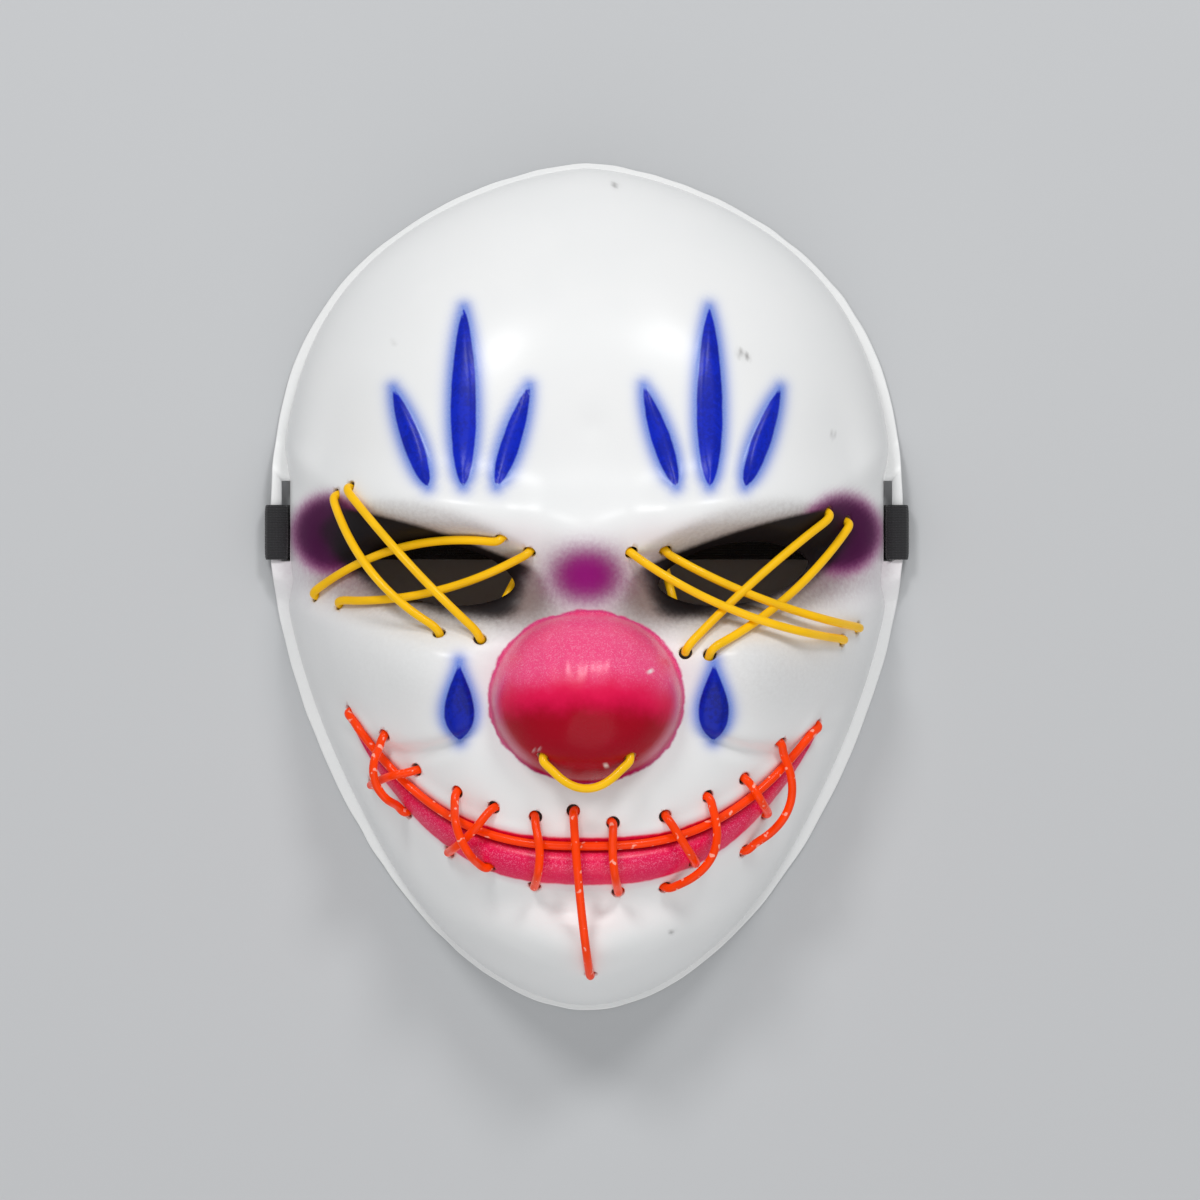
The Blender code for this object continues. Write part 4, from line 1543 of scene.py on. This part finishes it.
@dataclass(frozen=True)
class SocketPaint:
    """The soot in the eye sockets, the smudge and painted shade under them and the violet at their
    corners.

    The socket is an almond round the opening. Its edge is crisp under the brow and soft below, where
    the density falls as 1 - tanh of the distance off it.
    """

    at: tuple[float, float] = (0.0415, 0.0060)
    half: tuple[float, float] = (0.0315, 0.0145)
    tilt: float = math.radians(18.0)
    top: float = 0.0088
    low: float = 0.0102
    brow_fall: float = 0.0024
    soft_band: float = 7 * MM
    soot: float = 2.4
    soot_start: tuple[float, float] = (-0.0275, 0.0075)
    soot_end: tuple[float, float] = (0.0215, 0.008)
    corner_at: tuple[float, float] = (0.0290, -0.0006)
    corner_half: tuple[float, float] = (7.8 * MM, 7.4 * MM)
    violet: float = 5.2
    fringe: float = 3.0
    # The smudge round the sockets and at their inner corners is partly painted shade.
    smudge_and_shade: float = 0.8
    inner_smudge_and_shade: float = 1.6
    # Painted shade on the left and on the right cheek.
    cheek_shade: tuple[float, float] = (0.08, 0.17)

    def below(self, across: Array) -> Array:
        """How far below the socket's middle each place is, from 0 to 1 over a soft band."""
        return smooth_step(0.5 - across / self.soft_band)

    def stored(self, x: Array, y: Array) -> dict[str, Array]:
        """Each sprayed field's coverage, and the distance over the brow's edge.

        Args:
            x: Positions across the face.
            y: Positions up the face.

        Returns:
            The values for each attribute's name.
        """
        dx, dy = np.abs(x) - self.at[0], y - self.at[1]
        cos, sin = math.cos(self.tilt), math.sin(self.tilt)
        along, across = dx * cos + dy * sin, dy * cos - dx * sin
        tall = np.where(across < 0.0, self.low, self.half[1])
        level = np.hypot(along / self.half[0], (np.abs(across) / tall) ** 0.85)
        off = (level - 1.0) * np.hypot(along, across) / np.maximum(level, 1e-6)
        below = self.below(across)
        brow = across - self.top + self.brow_fall * (along / self.half[0]) ** 2
        corner_x = (along - self.corner_at[0]) / self.corner_half[0]
        corner = np.hypot(corner_x, (across - self.corner_at[1]) / self.corner_half[1])
        fringe = self.fringe * np.exp(-0.5 * (corner / 1.22) ** 6) + 0.35 * gauss(corner / 1.4) * below
        return {
            "over_brow": brow,
            "soot": sprayed(self.soot_density(along, off, below)),
            "violet": sprayed(self.violet * np.exp(-0.5 * corner**5)),
            "fringe": sprayed(fringe),
            # The smudge field also carries the painted shade on the cheeks.
            "smudge_and_shade": sprayed(self.smudge_and_shade_density(along, across, off, brow) + self.painted_cheek_shade(x, y)),
        }

    def soot_density(self, along: Array, off: Array, below: Array) -> Array:
        """Soot that thins out off the socket's edge and towards both ends of it.

        Args:
            along: Position along the socket.
            off: Distance outside the socket's edge.
            below: How far below the socket's middle, 0 to 1.

        Returns:
            The soot's density.
        """
        soot = self.soot * (1.0 - np.tanh(off / ((1.2 + 0.9 * below) * MM)))
        soot = soot * smooth_step((along - self.soot_start[0]) / self.soot_start[1])
        return soot * (1.0 - 0.70 * smooth_step((along - self.soot_end[0]) / self.soot_end[1]))

    def smudge_and_shade_density(self, along: Array, across: Array, off: Array, brow: Array) -> Array:
        """A wider smudge and painted shade round the soot, stronger at the inner corner and under the
        outer half.

        Args:
            along: Position along the socket.
            across: Position across it.
            off: Distance outside the socket's edge.
            brow: Distance over the brow's edge.

        Returns:
            The smudge's density.
        """
        below = self.below(across)
        smudge_and_shade = self.smudge_and_shade * (1.0 - np.tanh((off - 0.5 * MM) / ((1.4 + 3.2 * below) * MM)))
        smudge_and_shade = smudge_and_shade * (0.62 - 0.38 * np.tanh((brow - 0.6 * MM) / (1.2 * MM)))
        inner = gauss((along + 0.0245) / (6.5 * MM)) * gauss((across + 0.0025) / (4.5 * MM))
        outer = gauss((along - 0.0180) / (8.5 * MM)) * gauss((across + 0.0115) / (3.5 * MM))
        return smudge_and_shade + self.inner_smudge_and_shade * (inner + 0.7 * outer)

    def painted_cheek_shade(self, x: Array, y: Array) -> Array:
        """Painted shade on each cheek, stronger on the right one.

        Args:
            x: Positions across the face.
            y: Positions up the face.

        Returns:
            The smudge's density.
        """
        left, right = self.cheek_shade
        spot = gauss((np.abs(x) - 0.050) / 0.015) * gauss((y + 0.021) / 0.008)
        return spot * np.where(x > 0, right, left)


@dataclass
class FaceShell:
    """The thin moulded shell with its flange, openings and paint."""

    face: FaceForm
    runs: tuple[Run, ...]
    spokes: int = 440
    nose_rings: int = 22
    face_rings: int = 92
    inner_rings: int = 44
    nose_reach: float = 1.04
    hole_radius: float = 0.00185
    eye_sides: int = 56
    hole_sides: int = 20
    edge_waver: float = 0.12 * MM
    edge_soft: float = 0.25 * MM
    specks: tuple[tuple[float, float, float], ...] = (
        (0.0077, 0.1093, 0.00050),
        (0.0414, 0.0627, 0.0006),
        (0.0432, 0.0618, 0.0005),
        (0.0666, 0.0411, 0.0004),
        (-0.0520, 0.0660, 0.0003),
        (0.0230, -0.0930, 0.0004),
    )
    nicks: tuple[tuple[float, float, float, float], ...] = (
        (0.66, 0.30, 0.016, 0.030),
        (-0.52, -0.62, 0.030, 0.014),
        (0.20, -0.80, 0.026, 0.016),
    )

    def shares(self, foot: Array) -> Array:
        """Share of each spoke at every ring: even over the nose, then spaced by the dome's arc.

        Args:
            foot: The wall's foot on each spoke, as [spoke, xy].

        Returns:
            The shares as [spoke, ring].
        """
        spoke = foot - (0.0, self.face.nose_level)
        reach = np.linalg.norm(spoke, axis=1)
        angle = np.arctan2(spoke[:, 1], spoke[:, 0])
        wide, tall = self.face.nose_half
        nose = self.nose_reach / np.hypot(spoke[:, 0] / wide, spoke[:, 1] / tall)
        ball = np.sin(np.linspace(0.0, math.pi / 2, self.nose_rings + 1))[1:]
        way = 1.0 - (1.0 - np.linspace(0.0, 1.0, 300)) ** 2
        share = nose[:, None] + (1.0 - nose[:, None]) * way
        height = self.face.dome(share, angle[:, None]) * self.face.depth
        steps = np.hypot(np.diff(share, axis=1) * reach[:, None], np.diff(height, axis=1))
        length = np.concatenate([np.zeros((len(foot), 1)), np.cumsum(steps, axis=1)], axis=1)
        stops = np.linspace(0.0, 1.0, self.face_rings + 1)[1:]
        outer = [np.interp(stops * row[-1], row, part) for row, part in zip(length, share)]
        return np.concatenate([nose[:, None] * ball, np.array(outer)], axis=1)

    def sheet(self) -> tuple[Array, list]:
        """Points and faces of the uncut shell: outer face, flange, underside and inner face.

        Returns:
            The points and the faces.
        """
        face = self.face
        rim = face.rim(self.spokes)
        foot = face.foot(rim)
        centre = np.array([0.0, face.nose_level])
        inward = centre - foot
        inward /= np.linalg.norm(inward, axis=1, keepdims=True)
        plan = centre + (foot - centre)[:, None, :] * self.shares(foot)[:, :, None]
        x, y = plan[..., 0], plan[..., 1]
        outer = np.dstack([plan, face.level(x, y)])
        lift = face.rim_lift * face.slot_share(rim)
        outer[:, -1, 2] = lift + face.wall
        waver = self.edge_waver * ripple(rim[:, 0], rim[:, 1], 0.012, 5)
        outward = (rim - foot) / np.linalg.norm(rim - foot, axis=1, keepdims=True)
        edge = rim + outward * waver[:, None]

        def ring(places: Array, height: Array) -> Array:
            """One ring at a height."""
            return np.column_stack([places, height])[:, None, :]

        soft = self.edge_soft
        out = (edge - foot) / np.linalg.norm(edge - foot, axis=1, keepdims=True)
        flange = [
            ring(foot + out * 0.6 * MM, lift + face.wall),
            ring(edge - out * soft, lift + face.wall),
            ring(edge, lift + face.wall - soft),
            ring(edge, lift + soft),
            ring(edge - out * soft, lift),
            ring(foot + inward * face.wall, lift),
        ]
        keep = np.linspace(0, plan.shape[1] - 2, self.inner_rings).round().astype(int)[::-1]
        under = outer[:, keep] - face.wall * face.normal(x[:, keep], y[:, keep])
        grid = np.concatenate([outer, *flange, under], axis=1)
        rows, columns = grid.shape[:2]
        tip = np.array([0.0, face.nose_level, float(face.level(centre[:1], centre[1:])[0])])
        points = np.concatenate([grid.reshape(-1, 3), [tip, tip - (0, 0, face.wall)]])
        faces = grid_faces(rows, columns, True, False).tolist()
        here, there = np.arange(rows) * columns, np.roll(np.arange(rows), -1) * columns
        faces += np.stack([np.full(rows, rows * columns), here, there], axis=1).tolist()
        last = columns - 1
        inner_tip = np.full(rows, rows * columns + 1)
        faces += np.stack([inner_tip, there + last, here + last], axis=1).tolist()
        return points, faces

    @staticmethod
    def prism(ring: Array, along: Array) -> tuple[Array, list]:
        """A closed prism from a ring of points, carried along a vector.

        Args:
            ring: The ring's points.
            along: The vector.

        Returns:
            The points and the faces.
        """
        count = len(ring)
        points = np.concatenate([ring, ring + along])
        sides = np.stack([np.arange(count), np.roll(np.arange(count), -1)], axis=1)
        faces = [[a, b, b + count, a + count] for a, b in sides.tolist()]
        return points, [*faces, list(range(count))[::-1], list(range(count, 2 * count))]

    def eye_ring(self, side: int) -> Array:
        """The eye opening's almond: across = h sin t |sin t|^0.25 over along = a cos t, tilted.

        Args:
            side: 1 for the right side, -1 for the left.

        Returns:
            The ring's points.
        """
        face = self.face
        turn = np.arange(self.eye_sides) / self.eye_sides * 2 * math.pi
        along = face.eye_half[0] * np.cos(turn)
        across = face.eye_half[1] * np.sin(turn) * np.abs(np.sin(turn)) ** 0.25
        cos, sin = math.cos(face.eye_tilt), math.sin(face.eye_tilt)
        x = face.eye_at[0] + along * cos - across * sin
        y = face.eye_at[1] + along * sin + across * cos
        return np.column_stack([side * x, y, np.full(self.eye_sides, face.wall)])[::side]

    def slot_ring(self, side: int) -> Array:
        """The band's slot: a rectangle through the flange.

        Args:
            side: 1 for the right side, -1 for the left.

        Returns:
            The ring's points.
        """
        far = self.face.slot_edge()
        near = far - self.face.slot_width
        low = self.face.slot_level - self.face.slot_length / 2
        high = self.face.slot_level + self.face.slot_length / 2
        corners = [(near, low), (far, low), (far, high), (near, high)]
        return np.array([(side * x, y, -0.002) for x, y in corners])[::side]

    def hole_ring(self, hole: Hole) -> Array:
        """A ring round a wire hole, below the shell.

        Args:
            hole: The hole.

        Returns:
            The ring's points.
        """
        side = np.cross(hole.axis, [0.3, 0.9, 0.1])
        side /= np.linalg.norm(side)
        up = np.cross(hole.axis, side)
        turn = (np.arange(self.hole_sides) / self.hole_sides * 2 * math.pi)[:, None]
        circle = side * np.cos(turn) + up * np.sin(turn)
        return hole.top - hole.axis * 0.0045 + circle * self.hole_radius

    def cutter(self) -> bpy.types.Object:
        """One hidden body that cuts the eye openings, band slots and wire holes.

        Returns:
            The body.
        """
        prisms = []
        for side in (-1, 1):
            prisms.append(self.prism(self.eye_ring(side), np.array([0.0, 0.0, 0.1])))
            prisms.append(self.prism(self.slot_ring(side), np.array([0.0, 0.0, 0.009])))
        for run in self.runs:
            for x, y in ((run.x0, run.y0), (run.x1, run.y1)):
                hole = Hole.at(self.face, x, y)
                prisms.append(self.prism(self.hole_ring(hole), hole.axis * 0.0075))
        starts = np.cumsum([0, *(len(points) for points, _ in prisms)])
        faces = [[n + start for n in f] for (_, part), start in zip(prisms, starts) for f in part]
        return mesh_piece("openings", np.concatenate([points for points, _ in prisms]), faces)

    def paint(self, mesh: bpy.types.Mesh) -> None:
        """Stores what the paint follows: distances off each painted field and spray densities.

        Args:
            mesh: The shell's mesh.
        """
        face = self.face
        flat = np.empty(len(mesh.vertices) * 3)
        mesh.vertices.foreach_get("co", flat)
        x, y, z = flat.reshape(-1, 3).T
        depth = face.level(x, y) - z
        slant = face.normal(x, y)[:, 2]
        store(mesh, "outside", 1.0 - smooth_step(depth * slant / (0.7 * face.wall) - 0.15))
        mark = Marks.off(x, y)
        store(mesh, "mark", mark)
        store(mesh, "halo", 0.85 * gauss(np.maximum(mark, 0.0) / (1.7 * MM)))
        across, up = x / face.nose_half[0], (y - face.nose_level) / face.nose_half[1]
        ball = np.hypot(across, up)
        store(mesh, "nose", (ball - 1.035) * face.nose_half[1])
        tone = np.clip(0.34 + 1.25 * up + 0.25 * across**2, 0.0, 1.0)
        store(mesh, "tone", tone)
        rim = smooth_step((ball - 0.86) / 0.12) * smooth_step((np.abs(across) - 0.45) / 0.3)
        rim = rim * smooth_step((0.35 - up) / 0.3)
        store(mesh, "nose_rim", 0.55 * rim)
        nicks = [
            smooth_step(1.5 - np.hypot((across - nick_x) / wide, (up - nick_y) / tall))
            for nick_x, nick_y, wide, tall in self.nicks
        ]
        store(mesh, "nick", 0.9 * np.max(nicks, axis=0))
        store(mesh, "low_mark", smooth_step(-y / (6 * MM)))
        taper = np.clip(1.0 - (np.abs(x) / 0.0635) ** 2.4, 0.0, 1.0) ** 0.6
        off = y - face.seam(x)
        past = 2.0 * np.maximum(np.abs(x) - 0.0625, 0.0)
        store(mesh, "lip", np.abs(off + 3.6 * MM * taper) - 6.4 * MM * taper + past)
        # The lip's roll, where thicker specks make a painted highlight.
        store(mesh, "roll", gauss((off + 4.2 * MM) / (1.8 * MM)))
        # The seam's groove, where the red is darkened as painted shade.
        store(mesh, "groove", gauss((off + 0.3 * MM) / (1.0 * MM)))
        for name, values in SocketPaint().stored(x, y).items():
            store(mesh, name, values)
        spot = np.hypot(x / (5.2 * MM), (y - 0.003) / (4.0 * MM))
        store(mesh, "magenta", sprayed(6.0 * gauss(spot)))
        speck = [gauss(np.hypot(x - sx, y - sy) / size) for sx, sy, size in self.specks]
        store(mesh, "speck", 0.7 * np.max(speck, axis=0))

    def make(self) -> bpy.types.Object:
        """Builds the sheet, cuts its openings and paints it.

        Returns:
            The shell.
        """
        uncut = mesh_piece("uncut_shell", *self.sheet())
        cutter = self.cutter()
        cut = uncut.modifiers.new("openings", "BOOLEAN")
        cut.operation = "DIFFERENCE"
        cut.object = cutter
        graph = bpy.context.evaluated_depsgraph_get()
        mesh = bpy.data.meshes.new_from_object(uncut.evaluated_get(graph))
        for spare in (uncut, cutter):
            bpy.data.objects.remove(spare, do_unlink=True)
        mesh.name = "moulded_face"
        mesh.materials.clear()
        mesh.materials.append(PaintedShell().material())
        self.paint(mesh)
        shell = bpy.data.objects.new("moulded_face", mesh)
        bpy.context.scene.collection.objects.link(shell)
        return shell


# Head band


@dataclass
class HeadBand:
    """The flat elastic band: one strip that loops round both tabs of the flange."""

    face: FaceForm
    width: float = 0.015
    thickness: float = 0.0012
    gap: float = 0.0004
    wave: float = 0.018
    humps: int = 3
    tail: float = 0.014

    def level(self) -> float:
        """Height of the band's middle line up the face."""
        return self.face.slot_level - (self.face.slot_length - self.width) / 2 + self.gap

    @staticmethod
    def arc(middle: tuple[float, float], radius: float, start: float, end: float) -> Array:
        """Points on an arc in side view, between two angles in degrees."""
        turn = np.radians(np.linspace(start, end, 12))
        return np.column_stack([middle[0] + radius * np.cos(turn), middle[1] + radius * np.sin(turn)])

    def half_line(self) -> Array:
        """The band's middle line in side view, from its tail round the tab to the middle.

        Returns:
            The line's points as [point, xz].
        """
        low = self.thickness / 2 + self.gap / 2
        high = low + self.thickness + self.gap
        slot = self.face.slot_edge() - self.face.slot_width / 2
        bend = self.thickness
        top = self.face.rim_lift + self.face.wall + self.gap + self.thickness / 2
        outside = slot + self.face.slot_width / 2 + self.face.tab + self.gap + self.thickness / 2
        inner = slot - bend - self.tail - 2 * self.thickness
        way = np.linspace(0.0, 1.0, 120)
        swing = 1 - np.cos(math.pi * self.humps * way)
        wave = np.column_stack([inner * (1 - way), low + self.wave * swing / 2])
        return np.concatenate(
            [
                [(slot - bend - self.tail, high)],
                self.arc((slot - bend, high + bend), bend, -90, 0),
                self.arc((slot + bend, top - bend), bend, 180, 90),
                self.arc((outside - bend, top - bend), bend, 90, 0),
                self.arc((outside - bend, low + bend), bend, 0, -90),
                wave,
            ]
        )

    def make(self) -> bpy.types.Object:
        """Builds the strip: a flat profile with round edges carried along the side view's line.

        Returns:
            The band.
        """
        half = self.half_line()
        line = np.concatenate([half, (half * (-1, 1))[-2::-1]])
        line = np.column_stack([line[:, 0], np.full(len(line), self.level()), line[:, 1]])
        path = Path(line).resampled(0.0008).softened(1)
        ahead = path.tangents()
        thin = np.cross(ahead, [0.0, 1.0, 0.0])
        turn = np.arange(36) / 36 * 2 * math.pi
        across = np.sign(np.cos(turn)) * np.abs(np.cos(turn)) ** 0.35 * self.width / 2
        lift = np.sign(np.sin(turn)) * np.abs(np.sin(turn)) ** 0.6 * self.thickness / 2
        points = path.points[:, None, :] + across[None, :, None] * np.array([0.0, 1.0, 0.0])
        points = points + lift[None, :, None] * thin[:, None, :]
        rows, columns = points.shape[:2]
        faces = grid_faces(rows, columns, False, True).tolist()
        faces.append(list(range(columns))[::-1])
        faces.append(list(range((rows - 1) * columns, rows * columns)))
        band = mesh_piece("elastic_band", points, faces, 60.0)
        share = np.tile(across / self.width + 0.5, rows)
        along = np.repeat(path.length(), columns)
        corners = np.empty(len(band.data.loops), dtype=np.int32)
        band.data.loops.foreach_get("vertex_index", corners)
        weave = np.column_stack([share[corners], along[corners]]).astype(np.float32)
        band.data.uv_layers.new(name="weave").uv.foreach_set("vector", weave.ravel())
        band.data.materials.append(WovenElastic().material())
        return band


# Studio


@dataclass(frozen=True)
class Lamp:
    """A round soft light."""

    name: str
    place: tuple[float, float, float]
    size: float
    power: float


LAMPS = (
    Lamp("key", (-0.50, 1.00, 1.30), 0.40, 8.1),
    Lamp("crown", (0.45, 1.10, 1.30), 0.40, 7.8),
    Lamp("low", (0.20, -2.00, 1.80), 3.00, 23.0),
)


@dataclass
class Studio:
    """Pale floor, soft lights and the camera straight over the mask."""

    view_width: float = 0.3288
    view_centre: tuple[float, float] = (0.0036, -0.0036)
    camera_height: float = 2.4
    sensor: float = 36.0
    farthest: float = 20.0
    floor_half: float = 3.0
    floor_drop: float = 0.0002
    aim: tuple[float, float, float] = (0.0, 0.0, 0.04)
    sky: Colour = (0.97, 0.98, 1.0)
    sky_strength: float = 0.43

    def floor(self) -> None:
        """A wide plane just under the resting plane."""
        half = self.floor_half
        corners = np.array([(-half, -half, 0), (half, -half, 0), (half, half, 0), (-half, half, 0)])
        floor = mesh_piece("studio_floor", corners - (0.0, 0.0, self.floor_drop), [[0, 1, 2, 3]])
        floor.data.materials.append(PaleFloor().material())

    def light(self, row: Lamp) -> None:
        """Adds one lamp, turned to the mask.

        Args:
            row: The lamp's name, place, size and power.
        """
        lamp = bpy.data.lights.new(row.name, "AREA")
        lamp.shape = "DISK"
        lamp.size = row.size
        lamp.energy = row.power
        light = bpy.data.objects.new(row.name, lamp)
        light.location = row.place
        aim = Vector(row.place) - Vector(self.aim)
        light.rotation_euler = aim.to_track_quat("Z", "Y").to_euler()
        bpy.context.scene.collection.objects.link(light)

    def make(self) -> None:
        """Builds the camera, the floor and the lights."""
        lens = bpy.data.cameras.new("camera")
        lens.sensor_width = self.sensor
        lens.lens = self.sensor * self.camera_height / self.view_width
        lens.clip_end = self.farthest
        camera = bpy.data.objects.new("camera", lens)
        camera.location = (*self.view_centre, self.camera_height)
        bpy.context.scene.collection.objects.link(camera)
        bpy.context.scene.camera = camera
        self.floor()
        for lamp in LAMPS:
            self.light(lamp)
        world = bpy.data.worlds.new("studio")
        world.use_nodes = True
        background = world.node_tree.nodes["Background"]
        background.inputs["Color"].default_value = (*self.sky, 1.0)
        background.inputs["Strength"].default_value = self.sky_strength
        bpy.context.scene.world = world
        bpy.context.scene.view_settings.view_transform = "Standard"


def corners(box: tuple) -> list[list[float]]:
    """A box's two corners as plain lists."""
    return [[float(part) for part in corner] for corner in box]


def main() -> None:
    """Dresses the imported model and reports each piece."""
    logging.basicConfig(level=logging.INFO, format="%(message)s")
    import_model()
    face = FaceForm()
    yellow = LitSleeve("yellow_sleeve", (0.92, 0.52, 0.006), (1.0, 0.54, 0.0), 0.11, 0.0)
    orange = LitSleeve("orange_sleeve", (0.92, 0.050, 0.0), (1.0, 0.050, 0.0), 0.14, 0.60)
    pieces = (
        (FaceShell(face, (*EYE_RUNS, *MOUTH_RUNS)).make(), "face_shell", "white_shell"),
        (LightWire("eye_light", EYE_RUNS, face, yellow).make(), "eye_wire", "yellow_wire"),
        (LightWire("mouth_light", MOUTH_RUNS, face, orange).make(), "mouth_wire", "orange_wire"),
        (HeadBand(face).make(), "head_band", "black_elastic"),
    )
    for piece, node, slot in pieces:
        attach(piece, "root")
        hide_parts(node)
        LOG.info("%s: %d faces", piece.name, len(piece.data.polygons))
    Studio().make()


if __name__ == "__main__":
    main()
